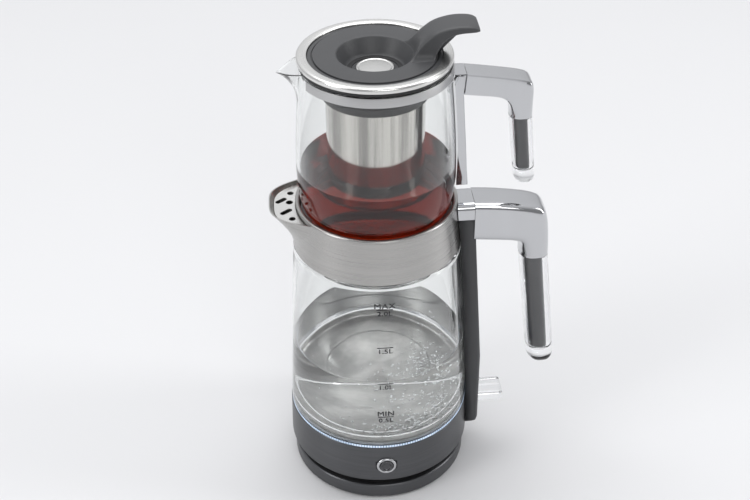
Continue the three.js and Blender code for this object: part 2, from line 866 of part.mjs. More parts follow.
function kettleChassis() {
  const inner = chassisRadius - chassis.wall;
  const neckOuter = shelfInner + chassis.neckWidth;
  const neckZ = shelfZ + chassis.neckHeight;
  const low = bandZ + kettle.rimHeight + fit;
  const outline = [
    [chassisRadius, low],
    [chassisRadius, shelfZ],
    [neckOuter, shelfZ],
    [neckOuter, neckZ],
    [shelfInner, neckZ],
    [shelfInner, shelfZ - chassis.shelf],
    [inner, shelfZ - chassis.shelf],
    [inner, low],
  ];
  let made = turned(outline);
  const postLow = coverZ + kettle.floor + fit;
  postPlaces.forEach(([x, y]) => {
    made = made.add(rod(chassis.postRadius, postLow, shelfZ - chassis.shelf / 2).translate([x, y, 0]));
    const hole = rod(coverScrew.shankRadius + fit, postLow - overrun, postLow + coverScrew.shankLength);
    made = made.subtract(hole.translate([x, y, 0]));
  });
  return made.subtract(frontBarrel).subtract(fingerWindow());
}

add("kettle_socket", connectorSocket(), finish.blackPlastic);
const socketContactLow = socketRoofZ - socket.contactReach;
const socketContactHigh = socketRoofZ + socket.roof / 2;
const socketContact = tube(socket.contactInner, socket.contactOuter, socketContactLow, socketContactHigh);
add("socket_contact_ring", socketContact, finish.brass);
add("kettle_bottom_cover", kettleCover(), finish.blackPlastic);
postPlaces.forEach((place, i) => {
  add("cover_screw_" + (i + 1), screwUp(place, coverZ + coverScrew.recess, coverScrew), finish.steel);
});
add("kettle_chassis", kettleChassis(), finish.blackPlastic);

// Kettle: heater and light
function controlUnit() {
  const low = socketTopZ + fit;
  const half = control.width / 2;
  const body = block([-half, -control.depth / 2, low], [half, control.depth / 2, low + control.height]);
  const end = pivotX - rocker.fingerReach - control.trayGap;
  const side = control.trayDepth / 2;
  return body.add(block([0, -side, low], [end, side, low + control.trayHeight]));
}

class Arc extends THREE.Curve {
  getPoint(share) {
    const circleRadius = plateRadius - element.inset;
    const angle = element.gapAngle + share * 2 * (Math.PI - element.gapAngle);
    return new THREE.Vector3(circleRadius * Math.cos(angle), circleRadius * Math.sin(angle), 0);
  }
}

function circle(radius, sides) {
  const points = ringPlaces(sides, radius, Math.PI / sides).map(([x, y]) => new THREE.Vector2(x, y));
  return new THREE.Shape(points);
}

function heatingElement() {
  const settings = { steps: element.steps, bevelEnabled: false, extrudePath: new Arc() };
  const geometry = new THREE.ExtrudeGeometry(circle(element.tubeRadius, element.sides), settings);
  return solid(geometry.translate(0, 0, plateZ - fit - element.tubeRadius));
}

function heaterPlate() {
  const top = plateZ + plate.rimHeight + plate.thickness;
  const inner = plateRadius - plate.rimWall;
  const outline = [
    [0, plateZ],
    [plateRadius, plateZ, plate.rounding],
    [plateRadius, top],
    [inner, top],
    [inner, plateZ + plate.thickness, plate.rounding],
    [0, plateZ + plate.thickness],
  ];
  return turned(outline);
}

function lightGuide() {
  const outer = glass.bottomRadius - lightRing.inset;
  const outline = [
    [guideInner, shelfZ + board.thickness + 2 * fit],
    [guideSkirt, shelfZ + board.thickness + 2 * fit],
    [guideSkirt, lightZ],
    [outer, lightZ],
    [outer, lightZ + lightRing.edge],
    [guideInner, lightZ + lightRing.edge],
  ];
  return turned(outline);
}

function kettleBand() {
  const outline = [
    [bandLowRadius, bandZ, kettle.sheet / 2],
    [bandTopRadius, bandTopZ, kettle.sheet / 2],
    [bandTopRadius - kettle.sheet, bandTopZ],
    [bandLowRadius - kettle.sheet, bandZ + kettle.sheet],
    [bandLowRadius - kettle.bandLip, bandZ + kettle.sheet],
    [bandLowRadius - kettle.bandLip, bandZ],
  ];
  return turned(outline).subtract(frontBarrel).subtract(fingerWindow());
}

add("control_unit", controlUnit(), finish.blackPlastic);
add("heating_element", heatingElement(), finish.steel);
add("heater_plate", heaterPlate(), finish.steel);
const sealRadius = plateRadius + fit;
const plateSeal = tube(sealRadius, sealRadius + seal.wall, plateZ, plateZ + seal.height, ringFacets);
add("plate_seal", plateSeal, finish.silicone);
const boardInner = shelfInner + chassis.neckWidth + fit;
const lightBoard = tube(boardInner, guideSkirt, shelfZ + fit, shelfZ + fit + board.thickness, ringFacets);
add("light_board", lightBoard, finish.circuit);
add("light_guide", lightGuide(), finish.clear);
add("kettle_base_band", kettleBand(), finish.darkSteel);

// Kettle: glass, collar, spout
function kettleGlass() {
  const neckZ = shoulderZ + glass.shoulder;
  const topZ = neckZ + glass.neckHeight;
  const outline = [
    [glass.bottomRadius, glassZ],
    [glassTopRadius, shoulderZ],
    [neckRadius, neckZ],
    [neckRadius, topZ],
    [neckRadius - glass.wall, topZ],
    [neckRadius - glass.wall, neckZ],
    [glassTopRadius - glass.wall, shoulderZ - glass.wall],
    [glass.bottomRadius - glass.wall, glassZ],
  ];
  return turned(outline);
}

function collarSleeve() {
  const sealLow = shoulderZ + glass.shoulder + fit;
  const inner = neckRadius + fit;
  return tube(inner, inner + collarSeal.wall, sealLow, sealLow + collarSeal.height, ringFacets);
}

const spoutLowZ = collarZ + spout.bottomRise;
const spoutTopZ = rimZ - spout.topDrop;

function collarShell() {
  const beadLow = rimZ - collar.bead;
  const outline = [
    [collarLowRadius, collarZ],
    [collarTopRadius, beadLow],
    [collarTopRadius + collar.sheet / 2, rimZ, collar.sheet],
    [mouthRadius, rimZ, collar.sheet],
    [mouthRadius, seatZ],
    [seatInner, seatZ],
    [seatInner, seatZ - collar.seatLip],
    [seatInner + collar.sheet, seatZ - collar.seatLip],
    [seatInner + collar.sheet, seatZ - collar.sheet],
    [mouthRadius + collar.sheet, seatZ - collar.sheet],
    [collarTopRadius - collar.sheet, beadLow - collar.sheet],
    [collarLowRadius - collar.sheet, collarZ],
  ];
  return turned(outline);
}

function spoutSolid(inset) {
  const raise = inset > 0 ? overrun : 0;
  return chute(spout, kettleRadius, spoutLowZ, spoutTopZ, 0, inset, raise);
}

// What the collar's outer face encloses, grown by a gap
function collarCore(gap) {
  return turned([
    [0, collarZ - overrun],
    [collarLowRadius + gap, collarZ - overrun],
    [collarLowRadius + gap, collarZ],
    [collarTopRadius + gap, rimZ - collar.bead],
    [collarTopRadius + gap, rimZ + 2 * overrun],
    [0, rimZ + 2 * overrun],
  ]);
}

function steelCollar() {
  const low = collarZ + spout.windowBottom;
  const high = collarZ + spout.windowTop;
  const half = spout.windowWidth / 2;
  const slab = block([-collarLowRadius - spout.reach, -half, low], [-seatInner, half, high]);
  const window = slab.intersect(spoutSolid(2 * spout.wall));
  const hollow = spoutSolid(spout.wall).subtract(collarCore(0));
  const chuteShell = spoutSolid(0).subtract(collarCore(-collar.sheet / 2)).subtract(hollow);
  const far = collarLowRadius + overrun;
  const steam = rodX(steamHole.radius, seatInner, far, rimZ - steamHole.drop);
  const screw = rodX(columnScrew.shankRadius + fit, seatInner, far, rimZ - columnScrew.drop);
  return collarShell().add(chuteShell).subtract(window).subtract(steam).subtract(screw);
}

function spoutStrainer() {
  const z = spoutTopZ - strainer.drop;
  const far = collarLowRadius + spout.reach;
  const slab = block([-far, -collarTopRadius, z], [0, collarTopRadius, z + strainer.thickness]);
  const start = kettleRadius(z) + fit;
  let made = spoutSolid(spout.wall + fit).subtract(collarCore(fit)).intersect(slab);
  strainerHoleShares.forEach(([along, across, half, radius]) => {
    const x = -start - along * spout.reach;
    const y = across * collarTopRadius * Math.sin(radians(spout.halfAngleDegrees));
    const size = radius * collarTopRadius;
    const reach = half * collarTopRadius;
    const end = rod(size, z - overrun, z + overrun, smallFacets / 2);
    let hole = end.translate([-reach, 0, 0]).add(end.translate([reach, 0, 0]));
    if (reach > 0) hole = hole.add(block([-reach, -size, z - overrun], [reach, size, z + overrun]));
    made = made.subtract(hole.rotate([0, 0, slotDegrees]).translate([x, y, 0]));
  });
  return made;
}

add("kettle_glass", kettleGlass(), finish.clear);
add("collar_seal", collarSleeve(), finish.silicone);
add("steel_collar", steelCollar(), finish.steel);
add("spout_strainer", spoutStrainer(), finish.steel);
const seatRingInner = seatInner + seatRing.inset;
const seatRingLow = seatZ + fit;
const seatRingHigh = seatRingLow + seatRing.thickness;
const seatRingMade = tube(seatRingInner, seatRingInner + seatRing.width, seatRingLow, seatRingHigh, ringFacets);
add("teapot_seat_ring", seatRingMade, finish.silicone);

// Kettle: handle column, cap, bar, grip
const capLowZ = capTopZ - column.capHeight;

function columnOuter(z) {
  return between(columnLowX, columnTopX, THREE.MathUtils.clamp((z - bendZ) / (capTopZ - bendZ), 0, 1));
}

function columnChannel() {
  const low = pivotZ + rocker.thickness;
  const high = capLowZ - column.channelTopDrop;
  const outline = [
    [seatInner, low],
    [columnOuter(low) - column.wall, low],
    [columnOuter(bendZ) - column.wall, bendZ],
    [columnOuter(high) - column.wall, high],
    [seatInner, high],
  ];
  return sideways(outline, column.channelHalfWidth).subtract(clearCone(fit + column.wall));
}

function rockerSlot() {
  const play = rocker.slotPlay;
  const half = rocker.halfWidth + fit;
  const swing = Math.sin(radians(rocker.swingDegrees)) * (rocker.pivotInset + overrun);
  const high = pivotZ + rocker.thickness / 2 + play + swing;
  const low = pivotZ - rocker.thickness / 2 - play;
  const slot = block([pivotX, -half, low], [columnLowX + overrun, half, high]);
  return slot.add(rodY(rocker.hubRadius + play, -half, half, pivotX, pivotZ));
}

function handleColumn() {
  const low = bandZ + column.bottomRise;
  const outline = [
    [seatInner, low],
    [columnLowX, low, column.endRounding],
    [columnLowX, bendZ],
    [columnOuter(capLowZ), capLowZ],
    [seatInner, capLowZ],
  ];
  const tubeExit = block(
    [pivotX - rocker.hubRadius, -steamTube.inset - steamTube.radius - fit, pivotZ],
    [pivotX + fit, -steamTube.inset + steamTube.radius + fit, pivotZ + rocker.thickness + overrun],
  );
  const steam = rodX(steamHole.radius, seatInner, columnOuter(capLowZ) - column.wall, rimZ - steamHole.drop);
  const screwEnd = collarLowRadius + columnScrew.shankLength;
  const screw = rodX(columnScrew.shankRadius + fit, seatInner, screwEnd, rimZ - columnScrew.drop);
  const pinReach = rocker.halfWidth + overrun;
  const pin = rodY(rocker.pinRadius + fit, -pinReach, pinReach, pivotX, pivotZ);
  let made = sideways(outline, column.halfWidth, column.edge).subtract(clearCone(fit));
  [columnChannel(), rockerSlot(), tubeExit, steam, screw, pin, fingerWindow()].forEach((cut) => {
    made = made.subtract(cut);
  });
  return made;
}

function roundTop(halfWidth, low, high, corner) {
  return [
    [-halfWidth, low],
    [halfWidth, low],
    [halfWidth, high, corner],
    [-halfWidth, high, corner],
  ];
}

function columnCap() {
  const outline = roundTop(column.halfWidth, capLowZ + fit, capTopZ, 2 * bar.rounding);
  return lengthwise(outline, seatInner, columnTopX).subtract(clearCone(fit));
}

const stubZ = rimZ - column.capRise - bar.stubDrop + fit;

function handleBar() {
  const start = columnTopX + fit;
  const cornerX = columnTopX + bar.cornerReach;
  const lean = columnOuter(capTopZ - bar.depth) + fit;
  const stubOuter = gripX + grip.topHalfThickness;
  const stubInner = gripX - grip.topHalfThickness;
  const outline = [
    [start, capTopZ],
    [(start + cornerX) / 2, capTopZ - bar.slope],
    [cornerX, capTopZ - bar.cornerDrop, bar.rounding],
    [columnTopX + bar.noseReach, capTopZ - bar.noseDrop, 2 * bar.rounding],
    [stubOuter, stubZ],
    [stubInner, stubZ],
    [columnTopX + bar.undersideReach, capTopZ - bar.undersideDrop, bar.rounding],
    [lean, capTopZ - bar.depth],
    [columnOuter(capLowZ) + fit, capLowZ],
  ];
  return sideways(outline, bar.halfWidth, bar.rounding);
}

function gripSleeve(size, topX, topZ) {
  const bore = leaning(size, topX, topZ + fit, 1 - size.coreEnd / size.length, size.coreShare, -fit);
  return leaning(size, topX, topZ, 1, 1).subtract(bore);
}

function gripCore(size, topX, topZ) {
  return leaning(size, topX, topZ, 1 - (size.coreEnd + 2 * fit) / size.length, size.coreShare);
}

function insideTube() {
  const topZ = rimZ - steamTube.topDrop;
  const bottomZ = bandZ + steamTube.bottomRise;
  const away = steamTube.offset - steamTube.radius;
  const place = (z) => new THREE.Vector3(kettleRadius(z) + away, -steamTube.inset, z);
  const path = new THREE.CatmullRomCurve3([place(bottomZ), place((bottomZ + topZ) / 2), place(topZ)]);
  const shape = circle(steamTube.radius, steamTube.sides);
  shape.holes.push(circle(steamTube.radius - steamTube.wall, steamTube.sides));
  const settings = { steps: steamTube.steps, bevelEnabled: false, extrudePath: path };
  return solid(new THREE.ExtrudeGeometry(shape, settings));
}

function screwOut(z, size, headX) {
  return screwUp([0, 0], 0, size).rotate([0, 90, 0]).translate([headX, 0, z]);
}

add("handle_column", handleColumn(), finish.greyPlastic);
add("column_cap", columnCap(), finish.chrome);
const columnScrewZ = rimZ - columnScrew.drop;
const columnScrewWall = kettleRadius(columnScrewZ + columnScrew.headRadius) - collar.sheet;
const columnScrewX = columnScrewWall - 2 * fit - columnScrew.headHeight;
add("column_screw", screwOut(columnScrewZ, columnScrew, columnScrewX), finish.steel);
add("steam_tube", insideTube(), finish.silicone);
add("handle_bar", handleBar(), finish.chrome);
add("grip_core", gripCore(grip, gripX, stubZ - fit), finish.greyPlastic);
add("grip_sleeve", gripSleeve(grip, gripX, stubZ - fit), finish.clear);

// Boil switch
function rockerLever() {
  const half = rocker.thickness / 2;
  const start = columnLowX - rocker.inside;
  const end = columnLowX + rocker.reach;
  const outline = [
    [start, pivotZ - half],
    [end, pivotZ - half, rocker.edge],
    [end, pivotZ + half, rocker.edge],
    [start, pivotZ + half],
  ];
  return sideways(outline, rocker.halfWidth, rocker.edge / 2);
}

function rockerHub() {
  const half = rocker.halfWidth - fit;
  const leverX = columnLowX - rocker.inside - fit;
  const hub = rodY(rocker.hubRadius, -half, half, pivotX, pivotZ);
  const hubHalf = rocker.hubRadius;
  const shoulder = block([pivotX, -half, pivotZ - hubHalf], [leverX, half, pivotZ + hubHalf]);
  const thin = rocker.fingerThickness / 2;
  const wide = rocker.fingerHalfWidth;
  const finger = block([pivotX - rocker.fingerReach, -wide, pivotZ - thin], [pivotX, wide, pivotZ + thin]);
  const bore = rodY(rocker.pinRadius + fit, -half - overrun, half + overrun, pivotX, pivotZ);
  return hub.add(shoulder).add(finger).subtract(bore);
}

add("switch_lever", rockerLever(), finish.clear);
add("switch_hub", rockerHub(), finish.blackPlastic);
const pinHalf = rocker.halfWidth + overrun - fit;
add("switch_pin", rodY(rocker.pinRadius, -pinHalf, pinHalf, pivotX, pivotZ), finish.steel);

// Front button: built along +Z, then laid along +Y at its height
const buttonFaceY = kettleRadius(buttonZ) + button.proud;
const bezelFaceY = kettleRadius(buttonZ) + button.bezelProud;
const bandFaceY = kettleRadius(buttonZ) + fit;
const webY = bezelFaceY - button.webDepth;
const stemEnd = button.cap + button.stemLength;
function facing(outline, frontY) {
  return turned(outline, boreFacets).rotate([-90, 0, 0]).translate([0, -frontY, buttonZ]);
}

function bezel() {
  const depth = bezelFaceY - webY;
  return facing(
    [
      [button.radius + fit, 0],
      [button.bezelRadius, 0],
      [button.bezelRadius, bezelFaceY - bandFaceY],
      [button.barrelRadius, bezelFaceY - bandFaceY],
      [button.barrelRadius, depth + button.web],
      [button.stemRadius + fit, depth + button.web],
      [button.stemRadius + fit, depth],
      [button.radius + fit, depth],
    ],
    bezelFaceY,
  );
}

function pushButton() {
  return facing(
    [
      [0, 0],
      [button.radius, 0],
      [button.radius, button.cap],
      [button.stemRadius, button.cap],
      [button.stemRadius, stemEnd],
      [0, stemEnd],
    ],
    buttonFaceY,
  );
}

const springDepth = buttonFaceY - webY - button.cap - 2 * fit;
const spring = [
  [button.springRadius - button.springWall, 0],
  [button.springRadius, 0],
  [button.springRadius, springDepth],
  [button.springRadius - button.springWall, springDepth],
];
const stemY = buttonFaceY - stemEnd - button.travel;
const switchY = stemY - fit;
const boardY = switchY - button.web - button.board;
const boardLow = [-button.boardHalfWidth, -boardY - button.board, coverZ + kettle.floor + fit];
const boardHigh = [button.boardHalfWidth, -boardY, shelfZ - chassis.shelf - fit];
const switchLow = [-button.switchHalfWidth, -switchY, buttonZ - button.switchHeight / 2];
const switchHigh = [button.switchHalfWidth, -boardY - button.board - fit, buttonZ + button.switchHeight / 2];
add("button_bezel", bezel(), finish.chrome);
add("front_button", pushButton(), finish.darkSteel);
add("button_spring", facing(spring, buttonFaceY - button.cap - fit), finish.steel);
add("button_board", block(boardLow, boardHigh), finish.circuit);
add("button_switch", block(switchLow, switchHigh), finish.blackPlastic);

// Teapot glass
function teapotOutline(inset) {
  return teapotShares.map(([r, h]) => [r * teapot.rimRadius - inset, potZ + h * teapot.height]);
}

function teapotRadius(z) {
  const points = teapotOutline(0);
  const next = Math.max(points.findIndex((p) => p[1] >= z), 1);
  const [lowR, lowZ] = points[next - 1];
  const [highR, highZ] = points[next];
  return between(lowR, highR, THREE.MathUtils.clamp((z - lowZ) / (highZ - lowZ), 0, 1));
}

function teapotGlass() {
  const outer = [[0, potZ], [footRadius, potZ], ...teapotOutline(0)];
  const hollow = teapotOutline(teapot.wall).filter(([r, z]) => z > potZ + teapot.floor);
  const insideFoot = [footRadius - teapot.wall, potZ + teapot.floor];
  const inner = [...hollow.reverse(), insideFoot, [0, potZ + teapot.floor]];
  const low = potRimZ - lip.bottomDrop;
  const pourLip = chute(lip, teapotRadius, low, potRimZ, lip.topDrop, 0, 0);
  const channel = chute(lip, teapotRadius, low, potRimZ, lip.topDrop, lip.wall, overrun);
  const half = teapot.rimRadius;
  const topCut = block([-2 * half, -half, potRimZ], [0, half, potRimZ + 2 * overrun]);
  return turned([...outer, ...inner]).add(pourLip.subtract(teapotCore())).subtract(channel).subtract(topCut);
}

// The space inside the teapot's wall, which the pour lip must not fill
function teapotCore() {
  const inner = teapotOutline(teapot.wall);
  const top = inner[inner.length - 1][0];
  return turned([[0, inner[0][1]], ...inner, [top, potRimZ + overrun], [0, potRimZ + overrun]]);
}

// A layer that follows the teapot's wall, from one gap to another
function teapotLayer(inner, outer, low, high, steps) {
  const heights = Array.from({ length: steps + 1 }, (unused, i) => between(low, high, i / steps));
  const out = heights.map((z) => [teapotRadius(z) + outer, z]);
  const back = heights.reverse().map((z) => [teapotRadius(z) + inner, z]);
  return turned([...out, ...back]);
}

const bandTop = potRimZ - band.topDrop;

function neckBand() {
  const low = bandTop - band.height;
  const hoop = teapotLayer(fit, fit + band.thickness, low, bandTop, 1);
  const far = 2 * teapot.rimRadius;
  const half = Math.tan(radians(band.openDegrees)) * far;
  const mouth = solid(openWedge(far, half, low, bandTop));
  const tabLow = bandTop - band.tabHeight;
  const tabBlock = block([0, -band.tabHalfWidth, tabLow], [far, band.tabHalfWidth, bandTop - band.height / 2]);
  const tab = teapotLayer(fit, fit + band.thickness, tabLow, bandTop, 2).intersect(tabBlock);
  const hole = rodX(neckScrew.shankRadius + fit, 0, far, potRimZ - neckScrew.drop);
  return hoop.subtract(mouth).add(tab).subtract(hole);
}

function openWedge(far, half, low, high) {
  const corners = [new THREE.Vector2(0, 0), new THREE.Vector2(-far, half), new THREE.Vector2(-far, -half)];
  const settings = { depth: high - low + 2 * overrun, bevelEnabled: false };
  return new THREE.ExtrudeGeometry(new THREE.Shape(corners), settings).translate(0, 0, low - overrun);
}

function potColumnBody() {
  const top = potRimZ - potColumn.topDrop;
  const middle = potRimZ - potColumn.middleDrop;
  const low = potRimZ - potColumn.bottomDrop;
  const outline = [
    [0, low],
    [teapot.rimRadius + potColumn.bottomReach, low],
    [potColumnMiddleX, middle],
    [potColumnTopX, top],
    [0, top],
  ];
  const gap = 2 * fit + band.thickness;
  const core = teapotLayer(-2 * teapot.wall, gap, low - overrun, potRimZ, 6).add(teapotCore());
  const far = 2 * teapot.rimRadius;
  const screw = rodX(neckScrew.shankRadius + fit, 0, far, potRimZ - neckScrew.drop);
  const headLow = potColumnMiddleX - neckScrew.headHeight - fit;
  const head = rodX(neckScrew.headRadius + fit, headLow, far, potRimZ - neckScrew.drop);
  return sideways(outline, potColumn.halfWidth, potColumn.edge).subtract(core).subtract(screw).subtract(head);
}

const potStubZ = potRimZ - potBar.stubDrop;

function potHandleBar() {
  const top = potRimZ - potColumn.topDrop;
  const middle = potRimZ - potColumn.middleDrop;
  const outline = [
    [potColumnTopX + fit, top],
    [potColumnTopX + potBar.endReach, potRimZ - potBar.endDrop, potBar.rounding * 3],
    [potColumnTopX + potBar.noseReach, potRimZ - potBar.noseDrop, potBar.rounding * 3],
    [potGripX + potGrip.topHalfThickness, potStubZ],
    [potGripX - potGrip.topHalfThickness, potStubZ],
    [potColumnTopX + potBar.innerReach, potRimZ - potBar.innerDrop, potBar.halfWidth],
    [potColumnTopX + potBar.undersideReach, potRimZ - potBar.undersideDrop, potBar.halfWidth / 2],
    [potColumnMiddleX + fit, middle],
  ];
  return sideways(outline, potBar.halfWidth, potBar.rounding);
}

add("teapot_glass", teapotGlass(), finish.clear);
add("neck_band", neckBand(), finish.steel);
add("teapot_column", potColumnBody(), finish.chrome);
add("teapot_handle_bar", potHandleBar(), finish.chrome);
add("teapot_grip_core", gripCore(potGrip, potGripX, potStubZ - fit), finish.greyPlastic);
add("teapot_grip_sleeve", gripSleeve(potGrip, potGripX, potStubZ - fit), finish.clear);
const neckScrewIn = screwUp([0, 0], 0, neckScrew).rotate([0, -90, 0]);
add("neck_screw", neckScrewIn.translate([potColumnMiddleX, 0, potRimZ - neckScrew.drop]), finish.steel);

// Infuser basket and its carrier ring
const carrierLowZ = potRimZ - carrier.bottomDrop;
const shelfTopZ = carrierLowZ + carrier.ringHeight + carrier.shelf;
const basketTopZ = shelfTopZ + fit + basket.wall;
const basketLowZ = basketTopZ - basket.height;

function infuserBasket() {
  const outline = [
    [0, basketLowZ],
    [basketRadius - basket.rounding, basketLowZ],
    [basketRadius, basketLowZ + basket.rounding - basket.wall],
    [basketRadius, basketTopZ - basket.wall],
    [basketRadius + basket.flangeWidth, basketTopZ - basket.wall],
    [basketRadius + basket.flangeWidth, basketTopZ],
    [basketRadius - basket.wall, basketTopZ],
    [basketRadius - basket.wall, basketLowZ + basket.rounding],
    [basketRadius - basket.rounding, basketLowZ + basket.wall],
    [0, basketLowZ + basket.wall],
  ];
  let made = turned(outline);
  for (let row = 1; row <= basket.holeRows; row++) {
    const circleRadius = (row / (basket.holeRows + 1)) * basketRadius;
    ringPlaces(basket.holesPerRow, circleRadius, row).forEach(([x, y]) => {
      const hole = rod(basket.holeRadius, basketLowZ - overrun, basketLowZ + overrun, smallFacets / 2);
      made = made.subtract(hole.translate([x, y, 0]));
    });
  }
  return made;
}

function carrierRing() {
  const inner = basketRadius + fit;
  const skirtOuter = carrierInner + carrier.wall;
  const skirtLow = flangeZ - carrier.skirtHeight;
  const flangeOuter = teapot.rimRadius + fit;
  const shelfOuter = inner + basket.flangeWidth + fit;
  return turned([
    [inner, carrierLowZ],
    [inner + carrier.ringWall, carrierLowZ],
    [inner + carrier.ringWall, carrierLowZ + carrier.ringHeight],
    [skirtOuter, skirtLow],
    [skirtOuter, flangeZ],
    [flangeOuter, flangeZ],
    [flangeOuter, flangeZ + carrier.flange],
    [carrierInner, flangeZ + carrier.flange],
    [carrierInner, skirtLow],
    [shelfOuter + carrier.wall, shelfTopZ + basket.wall + fit],
    [shelfOuter, shelfTopZ + basket.wall + fit],
    [shelfOuter, shelfTopZ],
    [inner, shelfTopZ],
  ]);
}

add("infuser_basket", infuserBasket(), finish.chrome);
add("infuser_carrier", carrierRing(), finish.blackPlastic);

// Lid
const craterZ = discZ - lid.craterDepth;

function lidRing() {
  return turned([
    [lidRadius, lidZ, lid.ringRounding / 2],
    [lidRadius, lidTopZ, lid.ringRounding],
    [lidRingInner, lidTopZ - lid.discDrop / 2],
    [lidRingInner, lidZ],
  ]);
}

function lidTongue() {
  const outline = tongueShares.map(([x, z]) => [x * lidRadius, discZ + z * lidRadius]);
  return sideways(outline, tongue.halfWidth, tongue.edge);
}

function lidDisc() {
  const step = discZ - lid.stepDrop;
  const grooveOuter = grooveRadius + lid.grooveWidth;
  const low = discZ - lid.disc;
  const wallTop = lid.craterTop + lid.craterWall;
  const made = turned([
    [0, craterZ - lid.craterWall],
    [lid.craterBottom + lid.craterWall, craterZ - lid.craterWall],
    [wallTop, low],
    [discRadius, low],
    [discRadius, step],
    [grooveOuter, step],
    [grooveOuter, step - lid.grooveDepth],
    [grooveRadius, step - lid.grooveDepth],
    [grooveRadius, discZ],
    [lid.craterTop, discZ],
    [lid.craterBottom, craterZ],
    [0, craterZ],
  ]);
  const flare = flareShares.map(([r, z]) => [r * lidRadius, discZ + z * lidRadius]);
  const well = turned([
    [0, craterZ],
    [lid.craterBottom, craterZ],
    [lid.craterTop, discZ],
    ...flare,
    [flare[flare.length - 1][0], lidTopZ + lidRadius],
    [0, lidTopZ + lidRadius],
  ]);
  return made.add(lidTongue()).subtract(well);
}

function lidSkirt() {
  const top = discZ - lid.disc - fit;
  return tube(skirtRadius - skirt.wall, skirtRadius, flangeZ + carrier.flange - skirt.depth, top, ringFacets);
}

add("lid_ring", lidRing(), finish.steel);
add("lid_disc", lidDisc(), finish.greyPlastic);
const insertZ = craterZ + fit;
add("lid_insert", rod(insert.radius, insertZ, insertZ + insert.thickness, ringFacets), finish.steel);
add("lid_skirt", lidSkirt(), finish.blackPlastic);
const lidSealHigh = flangeZ + carrier.flange - lidSeal.drop;
const sealInner = skirtRadius + fit;
const lidSealLow = lidSealHigh - lidSeal.height;
const lidSealMade = tube(sealInner, sealInner + lidSeal.wall, lidSealLow, lidSealHigh, ringFacets);
add("lid_seal", lidSealMade, finish.silicone);

export default object;
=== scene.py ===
"""Dresses the packed tea maker: smooth pieces, water, tea, level marks, finishes and a pale studio."""

import json
import math

import bmesh
import bpy
import numpy as np
from mathutils import Matrix, Vector


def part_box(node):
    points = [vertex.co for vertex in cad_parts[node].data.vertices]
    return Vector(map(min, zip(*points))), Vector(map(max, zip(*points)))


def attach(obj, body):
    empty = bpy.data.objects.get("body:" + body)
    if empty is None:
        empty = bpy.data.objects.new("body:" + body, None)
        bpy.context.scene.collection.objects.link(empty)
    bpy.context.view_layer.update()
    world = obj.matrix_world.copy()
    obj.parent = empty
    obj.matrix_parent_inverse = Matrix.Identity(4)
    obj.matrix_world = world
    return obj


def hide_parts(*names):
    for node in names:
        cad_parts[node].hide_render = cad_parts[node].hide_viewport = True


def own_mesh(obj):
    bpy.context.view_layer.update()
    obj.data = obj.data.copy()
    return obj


bl_info = {
    "name": "Tea maker looks",
    "version": (1, 0, 0),
    "blender": (4, 5, 0),
    "location": "3D View > Sidebar > Tea maker",
    "description": "Builds the smooth pieces, liquids and finishes of a two-storey tea maker",
    "category": "Object",
}

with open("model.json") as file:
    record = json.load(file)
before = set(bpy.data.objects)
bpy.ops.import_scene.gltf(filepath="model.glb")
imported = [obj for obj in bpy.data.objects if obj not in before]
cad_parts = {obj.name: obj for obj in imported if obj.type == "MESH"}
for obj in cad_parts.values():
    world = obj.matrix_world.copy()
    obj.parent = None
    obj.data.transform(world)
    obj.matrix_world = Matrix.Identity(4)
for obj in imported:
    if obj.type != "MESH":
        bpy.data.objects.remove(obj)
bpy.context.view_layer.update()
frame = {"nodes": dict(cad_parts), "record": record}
MM = 0.001
TURN = 2 * math.pi
BEHAVIOUR = frame["record"]["behaviour"]
BODY_OF = {node: body for body, nodes in BEHAVIOUR["bodies"].items() for node in nodes}
SLOT_OF = {part["node"]: part["material_slot"] for part in frame["record"]["subparts"]}


def span(node, axis=2):
    """Lowest and highest value of a CAD node along an axis, in millimetres."""
    low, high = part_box(node)
    return low[axis] / MM, high[axis] / MM


def radius_of(node):
    """How far a round CAD node reaches from the axis, in millimetres."""
    return span(node, 1)[1]


# Levels and radii of the frame, in millimetres
FLOOR = span("base_foot_1")[0]
BASE_TOP = span("base_trim_ring")[1]
BASE_RADIUS = radius_of("base_trim_ring")
DECK = span("base_housing")[1]
BAND_LOW, BAND_TOP = span("kettle_base_band")
BAND_RADIUS = radius_of("kettle_base_band")
BUTTON = sum(span("button_bezel")) / 2
PLATE_LOW, PLATE_TOP = span("heater_plate")
PLATE_RADIUS = radius_of("heater_plate")
GLASS_LOW, GLASS_TOP = span("kettle_glass")
GLASS_RADIUS = radius_of("kettle_glass")
COLLAR_LOW, RIM = span("steel_collar")
COLLAR_RADIUS = radius_of("steel_collar")
POT_LOW, POT_RIM = span("teapot_glass")
LID_LOW, LID_TOP = span("lid_ring")
LID_RADIUS = radius_of("lid_ring")

# Shared sizes of the pieces, in millimetres
BAND_LEAN = 0.9
BUTTON_SEAT_RADIUS = 7.2
PLATE_FLOOR = PLATE_LOW + 1.2
GLASS_TOP_RADIUS = 66.5
GLASS_WALL = 3.0
NECK_RADIUS = 62.4
SHOULDER = GLASS_TOP - 9.0
COLLAR_RIM_RADIUS = 62.4
MOUTH_RADIUS = 59.7
SEAT = RIM - 10.4
POT_RIM_RADIUS = 56.0
POT_WALL = 2.6
POT_FLOOR = POT_LOW + 3.2
DISC = LID_TOP - 0.8
# How far a liquid reaches into its vessel, so that no film of air shows between them
WETTING = 0.12


